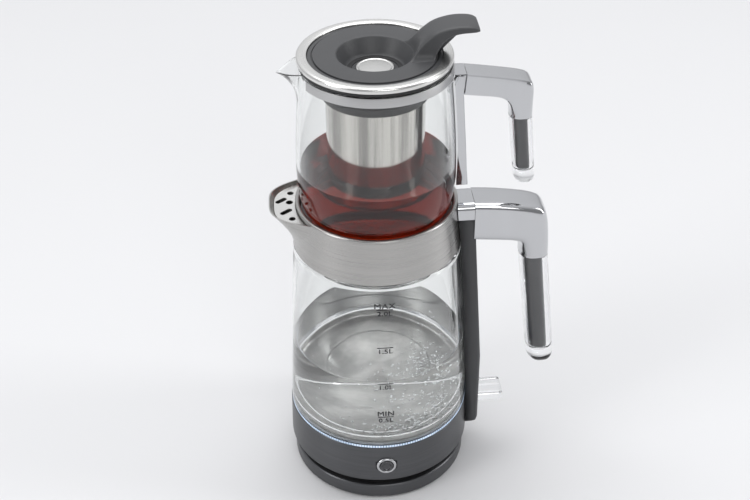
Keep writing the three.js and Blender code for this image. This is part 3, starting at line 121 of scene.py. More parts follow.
class TeaMakerSizes(bpy.types.PropertyGroup):
    """Sizes and counts that a user may change."""

    water_level: bpy.props.FloatProperty(
        name="Water level", description="Height of the water in the kettle above the table frame",
        default=0.1234, min=0.075, max=0.195, unit="LENGTH",
    )
    tea_level: bpy.props.FloatProperty(
        name="Tea level", description="Height of the tea in the teapot above the table frame",
        default=0.287, min=0.26, max=0.34, unit="LENGTH",
    )
    mark_height: bpy.props.FloatProperty(
        name="Mark height", description="Height of the digits of the level marks",
        default=0.0041, min=0.002, max=0.006, unit="LENGTH",
    )
    segments: bpy.props.IntProperty(
        name="Segments", description="Steps round each turned piece", default=160, min=48, max=320,
    )
    bubbles: bpy.props.IntProperty(
        name="Bubbles", description="Number of bubbles in the water", default=640, min=0, max=900,
    )


def colour_property(name, words, default):
    """A colour that a user may change."""
    return bpy.props.FloatVectorProperty(
        name=name, description=words, default=default, subtype="COLOR", min=0, max=1,
    )


class TeaMakerColours(bpy.types.PropertyGroup):
    """Colours of the finishes."""

    steel: colour_property("Steel", "Brushed steel of the collar and its spout", (0.45, 0.442, 0.43))
    dark_steel: colour_property("Dark steel", "Dark steel of the band and the base", (0.125, 0.127, 0.133))
    grey: colour_property("Grey moulding", "Satin grey of the lid and the column", (0.055, 0.056, 0.059))
    tea: colour_property("Tea", "Colour of the tea seen through", (0.16, 0.0065, 0.0015))
    light: colour_property("Light ring", "Colour of the lit ring under the glass", (0.35, 0.6, 1.0))
    floor: colour_property("Floor", "Colour of the studio floor", (0.7, 0.7, 0.71))


def sizes():
    """The sizes that the user may change."""
    return bpy.context.scene.tea_maker_sizes


def colours():
    """The colours that the user may change."""
    return bpy.context.scene.tea_maker_colours


# Shader maths: a socket with the usual operators


class Field:
    """A number that varies over a surface; each operator adds one Math node."""

    def __init__(self, nodes, socket):
        self.nodes = nodes
        self.socket = socket

    def __add__(self, other):
        return self.nodes.maths("ADD", self, other)

    def __mul__(self, other):
        return self.nodes.maths("MULTIPLY", self, other)

    def __pow__(self, other):
        return self.nodes.maths("POWER", self, other)

    def __rpow__(self, other):
        return self.nodes.maths("POWER", other, self)

    __radd__ = __add__
    __rmul__ = __mul__


class Nodes:
    """Adds nodes to the node tree of a finish or of the world."""

    def __init__(self, tree):
        self.tree = tree

    def node(self, kind, settings=None, **inputs):
        """Adds a node: its settings first, then its inputs, whose names have underscores for spaces."""
        made = self.tree.nodes.new(kind)
        for key, value in (settings or {}).items():
            setattr(made, key, value)
        for key, value in inputs.items():
            self.feed(made.inputs[key.replace("_", " ")], value)
        return made

    def feed(self, socket, value):
        """Links a field or a socket, or sets a value; a colour of three numbers gets its alpha."""
        if isinstance(value, Field):
            value = value.socket
        if isinstance(value, bpy.types.NodeSocket):
            self.tree.links.new(value, socket)
        elif socket.type == "RGBA":
            socket.default_value = (*value, 1.0)
        else:
            socket.default_value = value

    def maths(self, operation, *values):
        """A Math node on fields or numbers, as a new field."""
        made = self.node("ShaderNodeMath", {"operation": operation})
        for socket, value in zip(made.inputs, values):
            self.feed(socket, value)
        return Field(self, made.outputs[0])

    def ramp(self, field, low, high, start=0.0, end=1.0):
        """A field brought from low..high to start..end with soft ends."""
        made = self.node(
            "ShaderNodeMapRange", {"interpolation_type": "SMOOTHSTEP"},
            Value=field, From_Min=low, From_Max=high, To_Min=start, To_Max=end,
        )
        return Field(self, made.outputs[0])


class Finish(Nodes):
    """A material under construction: its nodes, and the Principled shader at its end."""

    def __init__(self, name):
        self.material = bpy.data.materials.new(name)
        self.material.use_nodes = True
        super().__init__(self.material.node_tree)
        self.tree.nodes.clear()
        self.shader = self.node("ShaderNodeBsdfPrincipled")
        self.node("ShaderNodeOutputMaterial", Surface=self.shader.outputs[0])

    def set(self, **inputs):
        """Sets inputs of the shader, named as in node."""
        for key, value in inputs.items():
            self.feed(self.shader.inputs[key.replace("_", " ")], value)
        return self

    def place(self):
        """X, Y and Z of the shaded point in metres."""
        vector = self.node("ShaderNodeTexCoord").outputs["Object"]
        parts = self.node("ShaderNodeSeparateXYZ", Vector=vector)
        return [Field(self, part) for part in parts.outputs]

    def stretched_noise(self, scale, detail):
        """Noise whose grain is drawn out: scale holds the repeats per metre along X, Y and Z."""
        vector = self.node("ShaderNodeTexCoord").outputs["Object"]
        mapped = self.node("ShaderNodeMapping", Vector=vector, Scale=scale).outputs[0]
        made = self.node("ShaderNodeTexNoise", Vector=mapped, Scale=1.0, Detail=detail, Roughness=0.6)
        return Field(self, made.outputs["Fac"])

    def shade(self, factor, low, high):
        """A colour between two, by a field."""
        made = self.node("ShaderNodeMix", {"data_type": "RGBA", "clamp_factor": True})
        for socket, value in ((0, factor), (6, low), (7, high)):
            self.feed(made.inputs[socket], value)
        return made.outputs[2]

    def bump(self, height, distance):
        """Roughens the surface by a field, over a distance in metres."""
        made = self.node("ShaderNodeBump", Height=height, Distance=distance, Strength=1.0)
        return self.set(Normal=made.outputs[0])


def scaled(colour, share):
    """A colour times a share, at most white."""
    return tuple(min(c * share, 1.0) for c in colour)


# A quarter turn: reflections are drawn out across lines that run round the axis
ACROSS_THE_GRAIN = 0.25
# Lines of the brushed and the turned steel, per metre
FINE_LINES = 5200


def brushed_finish(name, colour, roughness, grain=0.5, anisotropy=0.75):
    """Steel brushed round its axis: fine lines at each height, drawn out along the turn."""
    made = Finish(name)
    fine = made.stretched_noise((14, 14, FINE_LINES), 4)
    broad = made.stretched_noise((9, 9, 420), 2)
    lines = fine * 0.7 + broad * 0.3
    dull, bright = scaled(colour, 1 - 0.22 * grain), scaled(colour, 1 + 0.12 * grain)
    made.set(Base_Color=made.shade(made.ramp(lines, 0.3, 0.7), dull, bright), Metallic=1.0)
    made.set(Roughness=lines * (0.22 * grain) + (roughness - 0.11 * grain))
    made.set(Anisotropic=anisotropy, Anisotropic_Rotation=ACROSS_THE_GRAIN)
    return made.bump(fine, 0.00004 * grain).material


def plate_finish():
    """The heater's floor: turned rings, which draw out its reflections into a fan, and a little scale."""
    made = Finish("turned plate")
    x, y, _ = made.place()
    along = (x * x + y * y) ** 0.5 * FINE_LINES
    rings = made.node("ShaderNodeTexNoise", {"noise_dimensions": "1D"}, W=along, Scale=1.0, Detail=3.0)
    lines = Field(made, rings.outputs["Fac"])
    cloud = made.stretched_noise((38, 38, 38), 3)
    scale = made.shade(made.ramp(cloud, 0.35, 0.75), (0.36, 0.356, 0.348), (0.56, 0.553, 0.54))
    made.set(Base_Color=scale, Metallic=1.0, Roughness=lines * 0.14 + 0.2 + cloud * 0.08)
    made.set(Anisotropic=0.9, Anisotropic_Rotation=ACROSS_THE_GRAIN)
    return made.bump(lines, 0.00003).material


def polished_finish(name, colour, roughness):
    """Plated or polished metal with faint wiping marks."""
    made = Finish(name)
    smear = made.stretched_noise((55, 55, 20), 4)
    made.set(Base_Color=made.shade(smear, scaled(colour, 0.94), colour), Metallic=1.0)
    return made.set(Roughness=made.ramp(smear, 0.35, 0.8) * 0.07 + roughness).material


def drawn_finish():
    """The deep-drawn basket: bright steel with long upright streaks left by the drawing."""
    made = Finish("drawn steel")
    broad = made.stretched_noise((105, 105, 2), 2)
    fine = made.stretched_noise((900, 900, 14), 3)
    # Painted reflection: the upright light and dark streaks stand in for reflected strips.
    painted_reflection_streak = made.ramp(broad * 0.8 + fine * 0.2, 0.36, 0.62)
    made.set(Base_Color=made.shade(painted_reflection_streak, (0.3, 0.29, 0.275), (0.66, 0.64, 0.6)), Metallic=1.0)
    return made.set(Roughness=fine * 0.1 + 0.06).material


def moulded_finish(name, colour, roughness):
    """Moulded plastic: fine spark-eroded texture and a little unevenness in its gloss."""
    made = Finish(name)
    fine = made.stretched_noise((2600, 2600, 2600), 2)
    broad = made.stretched_noise((30, 30, 30), 3)
    made.set(Base_Color=made.shade(broad, scaled(colour, 0.88), scaled(colour, 1.12)))
    made.set(Roughness=broad * 0.12 + fine * 0.06 + (roughness - 0.09), Specular_IOR_Level=0.45)
    return made.bump(fine, 0.00002).material


def glass_finish(name, tint, ior, waviness=0.0):
    """Clear glass, plastic or liquid, with a faint film and, if asked, an uneven surface."""
    made = Finish(name)
    film = made.stretched_noise((26, 26, 12), 3)
    made.set(Base_Color=made.shade(film, scaled(tint, 0.99), tint), Transmission_Weight=1.0, IOR=ior)
    made.set(Roughness=made.ramp(film, 0.5, 0.85) * 0.012)
    if waviness:
        made.bump(made.stretched_noise((60, 60, 25), 2), waviness)
    return made.material


def tea_finish():
    """Brewed tea: dark red-brown, glowing orange-red low down in faint arcs, 7 mm apart."""
    made = Finish("brewed tea")
    height = made.place()[2]
    # Painted light: an orange-red glow, strongest at the teapot's floor and gone 17 mm up, broken into faint
    # arc-shaped bands.
    low = made.ramp(height, (POT_LOW + 17) * MM, (POT_LOW + 2) * MM)
    painted_glow_arcs = made.maths("SINE", height * 900.0) * 0.5 + 0.5
    tint = made.shade(low * (painted_glow_arcs * 0.4 + 0.2), colours().tea, (0.7, 0.06, 0.01))
    return made.set(Base_Color=tint, Transmission_Weight=1.0, IOR=1.2, Roughness=0.0).material


def ring_light_finish():
    """The lit ring: a frosted band with the bright spots of the small lamps behind it."""
    made = Finish("ring light")
    spots = 208
    x, y, _ = made.place()
    angle = made.maths("ARCTAN2", y, x)
    lamps = made.maths("ABSOLUTE", made.maths("SINE", angle * (spots / 2))) ** 2.0
    cloud = made.stretched_noise((60, 60, 60), 2)
    level = made.ramp(lamps * 0.5 + cloud * 0.75, 0.25, 1.1)
    blue = colours().light
    made.set(Base_Color=made.shade(level, scaled(blue, 0.3), (0.8, 0.88, 1.0)), Roughness=0.35)
    glow = made.shade(level, scaled(blue, 0.12), (0.7, 0.84, 1.0))
    return made.set(Emission_Color=glow, Emission_Strength=0.6).material


def bubble_finish():
    """Bubbles: silvery beads, as air in water throws nearly all of the light back."""
    made = Finish("bubble")
    sparkle = made.stretched_noise((700, 700, 700), 1)
    made.set(Base_Color=made.shade(sparkle, (0.93, 0.95, 0.96), (1.0, 1.0, 1.0)), Metallic=1.0)
    return made.set(Roughness=sparkle * 0.1).material


def rubber_finish(name, colour):
    """Rubber or silicone: matt, with a fine grain."""
    made = Finish(name)
    fine = made.stretched_noise((900, 900, 900), 3)
    made.set(Base_Color=made.shade(fine, scaled(colour, 0.8), scaled(colour, 1.15)))
    made.set(Roughness=fine * 0.15 + 0.68, Specular_IOR_Level=0.3)
    return made.bump(fine, 0.00004).material


def board_finish():
    """Green circuit board with faint copper tracks under its lacquer."""
    made = Finish("circuit board")
    tracks = made.stretched_noise((300, 300, 700), 2)
    made.set(Base_Color=made.shade(made.ramp(tracks, 0.5, 0.56), (0.012, 0.09, 0.035), (0.03, 0.17, 0.07)))
    return made.set(Roughness=tracks * 0.2 + 0.3).material


def ink_finish():
    """Black printed ink, a little worn."""
    made = Finish("printed ink")
    wear = made.stretched_noise((1500, 1500, 1500), 2)
    made.set(Base_Color=made.shade(wear, (0.008, 0.008, 0.008), (0.02, 0.02, 0.022)))
    return made.set(Roughness=wear * 0.2 + 0.4).material


FINISHES = {}


def finishes():
    """The finishes by name, made once."""
    if FINISHES:
        return FINISHES
    palette = colours()
    FINISHES.update({
        "steel": brushed_finish("brushed steel", palette.steel, 0.28),
        "dark_steel": brushed_finish("dark brushed steel", palette.dark_steel, 0.36, 0.8),
        "bright_steel": brushed_finish("satin bright steel", (0.76, 0.755, 0.74), 0.27, 0.3, 0.3),
        "strap_steel": brushed_finish("neck strap steel", (0.5, 0.5, 0.5), 0.3, 0.3, 0.5),
        "mirror_steel": drawn_finish(),
        "chrome": polished_finish("chrome", (0.58, 0.585, 0.6), 0.07),
        "plate": plate_finish(),
        "grey_plastic": moulded_finish("grey moulding", palette.grey, 0.42),
        "black_plastic": moulded_finish("black moulding", (0.018, 0.018, 0.019), 0.4),
        "button_cap": polished_finish("button cap", (0.11, 0.11, 0.115), 0.14),
        "clear_plastic": glass_finish("clear acrylic", (0.97, 0.975, 0.98), 1.49, 0.00002),
        "clear_glass": glass_finish("clear glass", (0.975, 0.985, 0.98), 1.47),
        "water": glass_finish("water", (0.985, 0.99, 0.995), 1.33, 0.00015),
        "bubble": bubble_finish(),
        "tea": tea_finish(),
        "light_guide": ring_light_finish(),
        "rubber": rubber_finish("rubber", (0.02, 0.02, 0.02)),
        "silicone": rubber_finish("silicone", (0.42, 0.43, 0.44)),
        "brass": polished_finish("contact metal", (0.75, 0.55, 0.25), 0.22),
        "circuit": board_finish(),
        "ink": ink_finish(),
    })
    return FINISHES


# Meshes worked out as arrays, in millimetres


def outward(points, faces):
    """Turns every face round if the closed surface's signed volume is negative."""
    volume = 0.0
    for group in faces:
        a = points[group[:, 0]]
        for i in range(1, group.shape[1] - 1):
            volume += np.einsum("ij,ij->", a, np.cross(points[group[:, i]], points[group[:, i + 1]]))
    return faces if volume > 0 else [group[:, ::-1] for group in faces]


def linked(name, data):
    """An object in the scene, at its origin."""
    made = bpy.data.objects.new(name, data)
    bpy.context.scene.collection.objects.link(made)
    return made


def add_mesh(mesh, finish, node=None, body=None, slot=None, sharp=32.0):
    """Makes a mesh a smooth piece that rides on a body; one that replaces a node has its body and slot."""
    mesh.polygons.foreach_set("use_smooth", np.ones(len(mesh.polygons), bool))
    mesh.set_sharp_from_angle(angle=math.radians(sharp))
    mesh.materials.append(finishes()[finish])
    piece = linked(mesh.name, mesh)
    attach(piece, body or BODY_OF[node])
    if node:
        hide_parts(node)
    return piece


def add_piece(name, surface, finish, node=None, **options):
    """Makes a piece from an array of points and a list of face arrays."""
    points, faces = surface
    mesh = bpy.data.meshes.new(name)
    every_face = [face for group in outward(points, faces) for face in group.tolist()]
    mesh.from_pydata((points * MM).tolist(), [], every_face)
    return add_mesh(mesh, finish, node, **options)


def mesh_from(made, name):
    """Ends a bmesh as a mesh."""
    mesh = bpy.data.meshes.new(name)
    made.to_mesh(mesh)
    made.free()
    return mesh


def smooth_copy(node, name, finish, sharp=40.0):
    """A piece with a CAD node's own shape: its triangles are merged, and its rounded edges shaded smooth."""
    made = bmesh.new()
    made.from_mesh(frame["nodes"][node].data)
    bmesh.ops.remove_doubles(made, verts=made.verts, dist=1e-6)
    return add_mesh(mesh_from(made, name), finish, node, sharp=sharp)


def outline_piece(name, loops, low, high, finish, node=None, **options):
    """A flat plate cut from its outer loop and its holes, filled by Blender and made thick."""
    made = bmesh.new()
    edges = []
    for loop in loops:
        ring = [made.verts.new((x * MM, y * MM, low * MM)) for x, y in loop]
        edges += [made.edges.new((a, b)) for a, b in zip(ring, ring[1:] + ring[:1])]
    bmesh.ops.triangle_fill(made, use_beauty=True, use_dissolve=False, edges=edges, normal=(0, 0, -1))
    grown = bmesh.ops.extrude_face_region(made, geom=list(made.faces))
    top = [v for v in grown["geom"] if isinstance(v, bmesh.types.BMVert)]
    bmesh.ops.translate(made, verts=top, vec=(0, 0, (high - low) * MM))
    bmesh.ops.recalc_face_normals(made, faces=made.faces)
    return add_mesh(mesh_from(made, name), finish, node, **options)


def quads(rows, columns, wrap_rows=False):
    """Faces of a grid of rows by columns, closed across the columns and, if asked, across the rows."""
    i, j = np.meshgrid(np.arange(rows if wrap_rows else rows - 1), np.arange(columns), indexing="ij")
    i, j = i.ravel() * columns, j.ravel()
    next_i, next_j = (i + columns) % (rows * columns), (j + 1) % columns
    return np.stack([i + j, i + next_j, next_i + next_j, next_i + j], 1)


def capped(rings):
    """A tube from its rings, an array of ring by point by XYZ, with a flat face at each end."""
    rows, columns = rings.shape[:2]
    ring = np.arange(columns)[None]
    return rings.reshape(-1, 3), [quads(rows, columns), ring[:, ::-1], (rows - 1) * columns + ring]


def circle(count, radius):
    """Points of a circle round the origin."""
    turn = np.linspace(0, TURN, count, endpoint=False)
    return radius * np.stack([np.cos(turn), np.sin(turn)], 1)


def arc_corners(points, steps=6):
    """An outline whose corners are rounded: a corner [x, y, radius] becomes a parabola between its sides."""
    points = [tuple(p) + (0.0,) * (3 - len(p)) for p in points]
    result = []
    share = np.linspace(0, 1, steps + 1)[:, None]
    for k, (x, y, radius) in enumerate(points):
        here = np.array([x, y])
        if radius == 0:
            result.append(here[None])
            continue
        before = np.array(points[k - 1][:2]) - here
        after = np.array(points[(k + 1) % len(points)][:2]) - here
        reach = min(radius, np.linalg.norm(before) / 2, np.linalg.norm(after) / 2)
        start = here + before / np.linalg.norm(before) * reach
        end = here + after / np.linalg.norm(after) * reach
        result.append((1 - share) ** 2 * start + 2 * share * (1 - share) * here + share**2 * end)
    return np.concatenate(result)


def turned(outline, bend=None):
    """A body of revolution: every [radius, height] of the outline goes round the Z axis.

    An outline that starts and ends on the axis gets a pole at each end, any other is closed on itself.
    bend(radius, height, angle) may move the points of each ring before they are laid out.
    """
    profile = arc_corners(outline)
    count = sizes().segments
    poles = profile[0, 0] == 0 and profile[-1, 0] == 0
    rows = profile[1:-1] if poles else profile
    radius = np.repeat(rows[:, :1], count, 1)
    height = np.repeat(rows[:, 1:], count, 1)
    turn = np.repeat(np.arange(count)[None] / count * TURN, len(rows), 0)
    if bend:
        radius, height = bend(radius, height, turn)
    points = np.stack([radius * np.cos(turn), radius * np.sin(turn), height], -1).reshape(-1, 3)
    faces = [quads(len(rows), count, wrap_rows=not poles)]
    if poles:
        first, last = len(points), len(points) + 1
        j = np.arange(count)
        top = (len(rows) - 1) * count
        faces.append(np.stack([np.full(count, first), (j + 1) % count, j], 1))
        faces.append(np.stack([np.full(count, last), top + j, top + (j + 1) % count], 1))
        points = np.concatenate([points, [[0, 0, profile[0, 1]], [0, 0, profile[-1, 1]]]])
    return points, faces


def corner_cut(rows, rounds=4):
    """Rows of control values made smooth: each round cuts every corner at a quarter of its two sides."""
    rows = np.array(rows, float)
    for _ in range(rounds):
        near = 0.75 * rows[:-1] + 0.25 * rows[1:]
        far = 0.25 * rows[:-1] + 0.75 * rows[1:]
        middle = np.stack([near, far], 1).reshape(-1, rows.shape[1])
        rows = np.concatenate([rows[:1], middle, rows[-1:]])
    return rows


def swept(rows, sides=64):
    """A bar in the XZ plane given as rows [outer x, outer z, inner x, inner z, half width, bluntness].

    Each section is a blunt ellipse, |u|^n + |v|^n = 1, whose u axis runs from the inner to the outer point
    and whose v axis runs along Y; a higher bluntness n makes it squarer.
    """
    rows = np.array(rows, float)
    angle = (np.arange(sides) + 0.5) / sides * TURN
    power = rows[:, 5:6]
    size = (np.abs(np.cos(angle)) ** power + np.abs(np.sin(angle)) ** power) ** (-1 / power)
    u, v = np.cos(angle) * size, np.sin(angle) * size
    middle = (rows[:, 0:2] + rows[:, 2:4]) / 2
    reach = (rows[:, 0:2] - rows[:, 2:4]) / 2
    x = middle[:, :1] + reach[:, :1] * u
    z = middle[:, 1:] + reach[:, 1:] * u
    return capped(np.stack([x, rows[:, 4:5] * v, z], -1))


def joined(*parts):
    """Several point and face lists as one."""
    points, faces, start = [], [], 0
    for more_points, more_faces in parts:
        points.append(more_points)
        faces += [group + start for group in outward(more_points, more_faces)]
        start += len(more_points)
    return np.concatenate(points), faces


def smoothstep(value, low, high):
    """A soft step from 0 at low to 1 at high: 3 s^2 - 2 s^3 of the share s between them."""
    share = np.clip((value - low) / (high - low), 0, 1)
    return share * share * (3 - 2 * share)


def kettle_radius(z):
    """Outer radius of the kettle's band, glass and collar at a height, straight between its edges."""
    heights = [BAND_LOW, BAND_TOP, GLASS_LOW, SHOULDER, COLLAR_LOW, RIM]
    band_top = BAND_RADIUS - BAND_LEAN
    radii = [BAND_RADIUS, band_top, GLASS_RADIUS, GLASS_TOP_RADIUS, COLLAR_RADIUS, COLLAR_RIM_RADIUS]
    return np.interp(z, heights, radii)


# Power base and kettle; an outline's rows are [radius, height] or [radius, height, rounding]


def build_power_base():
    """Adds the base's trim ring and its deck."""
    r, top = BASE_RADIUS, BASE_TOP
    ring = [
        [r, 0, 1.2], [r, top, 1.8], [r - 4, top, 0.4], [r - 4, top - 1.2], [r - 1.2, top - 1.2],
        [r - 1.2, 0],
    ]
    add_piece("trim_ring_skin", turned(ring), "dark_steel", "base_trim_ring")
    wall, low, boss = 2, 2.3, 19
    outer, deck, shelf = r - 1.5, r - 6, top - 1.5
    housing = [
        [outer, low], [outer, shelf], [deck, shelf, 0.5], [deck, DECK, 1.6], [boss, DECK, 0.6],
        [boss, DECK - wall], [deck - wall, DECK - wall], [deck - wall, shelf - wall],
        [outer - wall, shelf - wall], [outer - wall, low],
    ]
    add_piece("deck_skin", turned(housing), "black_plastic", "base_housing")


def around_button(radius, height, turn):
    """Sinks the band a little where the button's bezel sits, so that its flange lies flush."""
    near = np.hypot(radius * np.cos(turn), height - BUTTON) < BUTTON_SEAT_RADIUS
    return np.where(near & (np.sin(turn) < 0), np.minimum(radius, BAND_RADIUS - 2.4), radius), height


def build_kettle_base():
    """Adds the kettle's band, the lit ring and the heater's floor."""
    r, low, top = BAND_RADIUS, BAND_LOW, BAND_TOP
    heights = np.linspace(low + 1, top - 1, 60)
    side = [[r - BAND_LEAN * (z - low) / (top - low), z] for z in heights]
    band = [
        [r, low, 0.6], *side, [r - BAND_LEAN, top, 0.5], [r - BAND_LEAN - 1, top], [r - 1, low + 1],
        [r - 3, low + 1], [r - 3, low],
    ]
    add_piece("band_skin", turned(band, around_button), "dark_steel", "kettle_base_band")
    low, top = span("light_guide")
    r = radius_of("light_guide")
    inner, step, edge = 71.2, 73.2, GLASS_LOW - 2.1
    guide = [[inner, low], [step, low], [step, edge], [r, edge, 0.3], [r, top, 0.3], [inner, top]]
    add_piece("ring_light", turned(guide), "light_guide", "light_guide")
    r, floor, groove = PLATE_RADIUS, PLATE_FLOOR, 45.5
    plate = [
        [0, PLATE_LOW], [r, PLATE_LOW, 2], [r, PLATE_TOP, 0.4], [r - 1, PLATE_TOP, 0.4], [r - 1, floor, 3],
        [groove + 1.5, floor, 1], [groove, floor - 0.3], [groove - 1.5, floor, 1], [0, floor],
    ]
    add_piece("heater_floor", turned(plate), "plate", "heater_plate")


def build_kettle_glass():
    """Adds the kettle's glass and the water in it, whose edge climbs the glass."""
    r, inner = GLASS_RADIUS, GLASS_RADIUS - GLASS_WALL
    top_in, neck_in = GLASS_TOP_RADIUS - GLASS_WALL, NECK_RADIUS - GLASS_WALL
    glass = [
        [r, GLASS_LOW, 1], [GLASS_TOP_RADIUS, SHOULDER, 4], [NECK_RADIUS, SHOULDER + 2, 1.6],
        [NECK_RADIUS, GLASS_TOP, 1], [neck_in, GLASS_TOP, 1], [neck_in, SHOULDER + 2, 2],
        [top_in, SHOULDER - 3, 4], [inner, GLASS_LOW, 1],
    ]
    add_piece("kettle_glass_skin", turned(glass), "clear_glass", "kettle_glass")
    level = sizes().water_level / MM

    def inside(z):
        """The glass's inner radius at a height, wetted by the water."""
        return inner + WETTING + (top_in - inner) * (z - GLASS_LOW) / (SHOULDER - 3 - GLASS_LOW)

    floor, low_radius, step = PLATE_FLOOR - WETTING, PLATE_RADIUS - 0.9, PLATE_TOP + 0.1
    water = [
        [0, floor], [low_radius, floor, 3], [low_radius, step], [inside(PLATE_TOP), step],
        [inside(level), level + 1.2], [inside(level) - 0.9, level + 0.35], [inside(level) - 2.4, level],
        [0, level],
    ]
    add_piece("water", turned(water), "water", body="kettle", slot="clear_glass")


def icosphere():
    """A ball of radius 1 with 20 triangles: the twelve corners lie on three golden rectangles."""
    g = (1 + 5**0.5) / 2
    corners = np.array([
        [-1, g, 0], [1, g, 0], [-1, -g, 0], [1, -g, 0], [0, -1, g], [0, 1, g],
        [0, -1, -g], [0, 1, -g], [g, 0, -1], [g, 0, 1], [-g, 0, -1], [-g, 0, 1],
    ])
    faces = np.array([
        [0, 11, 5], [0, 5, 1], [0, 1, 7], [0, 7, 10], [0, 10, 11], [1, 5, 9], [5, 11, 4],
        [11, 10, 2], [10, 7, 6], [7, 1, 8], [3, 9, 4], [3, 4, 2], [3, 2, 6], [3, 6, 8],
        [3, 8, 9], [4, 9, 5], [2, 4, 11], [6, 2, 10], [8, 6, 7], [9, 8, 1],
    ])
    return corners / np.hypot(1, g), faces


def build_bubbles():
    """Adds the bubbles: they rise from the plate's front and right, and a third of them still sit on it.

    The square root spreads them evenly over the plate; their height goes as the 1.6th power of a share.
    """
    count = sizes().bubbles
    if count == 0:
        return
    draw = np.random.default_rng(11)
    ball, faces = icosphere()
    share = draw.random(count)
    front_right, spread_angle, plate_edge = -50, 34, 63
    angle = np.radians(draw.normal(front_right, spread_angle, count))
    distance = plate_edge * np.sqrt(draw.uniform(0.25, 1, count))
    level = sizes().water_level / MM
    risen = PLATE_LOW + 3 + (level - PLATE_LOW - 6) * share**1.6
    height = np.where(draw.random(count) < 0.35, PLATE_FLOOR + 1, risen)
    size = draw.uniform(0.35, 1.2, count)
    centre = np.stack([distance * np.cos(angle), distance * np.sin(angle), height], 1)
    points = (centre[:, None] + ball[None] * size[:, None, None]).reshape(-1, 3)
    every_face = (faces[None] + np.arange(count)[:, None, None] * len(ball)).reshape(-1, 3)
    add_piece("water_bubbles", (points, [every_face]), "bubble", body="kettle", slot="clear_glass", sharp=180)


def spout_rings(inset, levels=28, across=40):
    """The spout's skin by level: it leaves the collar over a widening angle, 36 degrees at its top.

    It runs out as the 1.5th power of its height. Across a level, u from -1 to 1, the skin is
    x = start + (end - start) cos(u pi/2), y = half |u|^(1 - 0.45 level).
    """
    low, high = COLLAR_LOW + 2, RIM - 1.8
    share = np.linspace(0, 1, levels)[:, None]
    u = np.linspace(-1, 1, 2 * across + 1)[None]
    angle = math.radians(36) * np.sin(share * math.pi / 2)
    z = low + inset + (high - low - inset) * share
    start = kettle_radius(z) * np.cos(angle) - 0.8
    half = np.maximum(kettle_radius(z) * np.sin(angle) - inset, 0.4)
    end = kettle_radius(low) + 0.5 - inset + 16.9 * share**1.5
    along = np.cos(u * math.pi / 2)
    wide = np.sign(u) * np.abs(u) ** (1 - 0.45 * share)
    curl = 0.06 * smoothstep(share, 0.86, 1) * along
    x = -(start + np.maximum(end - start, 0) * along) - curl
    return np.stack([x, half * wide, z + 0 * u], -1)


def build_collar():
    """Adds the steel collar and its spout."""
    r, mouth, bead, shelf = COLLAR_RIM_RADIUS, MOUTH_RADIUS, RIM - 2.4, 49
    collar = [
        [COLLAR_RADIUS, COLLAR_LOW, 0.4], [r, bead - 0.4, 0.5], [r + 0.7, bead + 0.1, 0.5],
        [r + 0.7, RIM - 0.7, 0.8], [r - 0.6, RIM, 0.9], [mouth, RIM - 0.4, 0.8], [mouth, SEAT, 1],
        [shelf, SEAT, 1], [shelf, SEAT - 2.5], [shelf + 1, SEAT - 2.5], [shelf + 1, SEAT - 1],
        [mouth + 1, SEAT - 1], [r - 1, bead - 1], [COLLAR_RADIUS - 1, COLLAR_LOW],
    ]
    add_piece("collar_skin", turned(collar), "steel", "steel_collar")
    rings = np.concatenate([spout_rings(0.0), spout_rings(1.0)[:, ::-1]], 1)
    add_piece("spout", capped(rings), "steel", body="kettle", slot="steel")


# The strainer's holes: x, y, half of the straight part, radius
STRAINER_HOLES = [
    (-66.4, 17.4, 0, 2.6), (-67.6, 4.4, 0, 2.8), (-74.0, 7.4, 3.0, 2.1), (-70.4, -8.6, 3.2, 2.2),
    (-66.0, -18.8, 0, 2.6),
]


def build_strainer():
    """Adds the plate in the spout: its edge follows the spout's inner skin, with round holes and slots."""
    low = span("spout_strainer")[0]
    rings = spout_rings(1.15)
    row = int(np.argmin(np.abs(rings[:, 0, 2] - low)))
    edge = rings[row][:, :2]
    start = kettle_radius(low) + 0.4
    ends = [math.atan2(edge[i, 1], -edge[i, 0]) for i in (-1, 0)]
    back_angle = np.linspace(*ends, 24)[1:-1]
    back = np.stack([-start * np.cos(back_angle), start * np.sin(back_angle)], 1)
    loop = [p for p in edge if math.hypot(*p) > start] + [p for p in back if abs(p[1]) < abs(edge[0, 1])]
    slant = math.radians(-52)
    axes = np.array([[math.cos(slant), math.sin(slant)], [-math.sin(slant), math.cos(slant)]])
    ring = circle(24, 1)
    holes = [(ring * radius + np.sign(ring) * (0, half)) @ axes + (x, y)
             for x, y, half, radius in STRAINER_HOLES]
    outline_piece("strainer_plate", [loop, *holes], low, low + 0.8, "bright_steel", "spout_strainer")


# Handles

# A grip leans from its top to its end; the grey core ends above the sleeve's end
KETTLE_GRIP = {
    "top_x": 126.3, "top_half": 11.8, "end_x": 138.9, "end_half": 11.2, "half_width": 14.0,
    "length": 114.0, "core_end": 13.0,
}
POT_GRIP = {
    "top_x": 108.8, "top_half": 8.7, "end_x": 114.9, "end_half": 8.2, "half_width": 10.0,
    "length": 59.5, "core_end": 11.0,
}
CORE_WIDTH = 0.62
GRIP_BLUNTNESS = 2.6


def grip_rows(grip, top, share=1.0, inset=0.0):
    """Rows of a grip from its top to its domed end; share sets how far down they go, below 1 in the core."""
    width = CORE_WIDTH if share < 1 else 1.0
    dome = grip["end_half"] * width / (grip["length"] * share)
    turn = np.linspace(0, math.pi / 2 * 0.985, 14)[1:]
    along = np.concatenate([np.linspace(0, 1 - dome, 10), 1 - dome * (1 - np.sin(turn))]) * share
    shrink = np.concatenate([np.ones(10), np.cos(turn)])
    x = grip["top_x"] + (grip["end_x"] - grip["top_x"]) * along
    half = ((grip["top_half"] + (grip["end_half"] - grip["top_half"]) * along) * width - inset) * shrink
    wide = (grip["half_width"] * width - inset) * shrink
    z = top - along * grip["length"]
    return np.stack([x + half, z, x - half, z, wide, np.full_like(x, GRIP_BLUNTNESS)], 1)


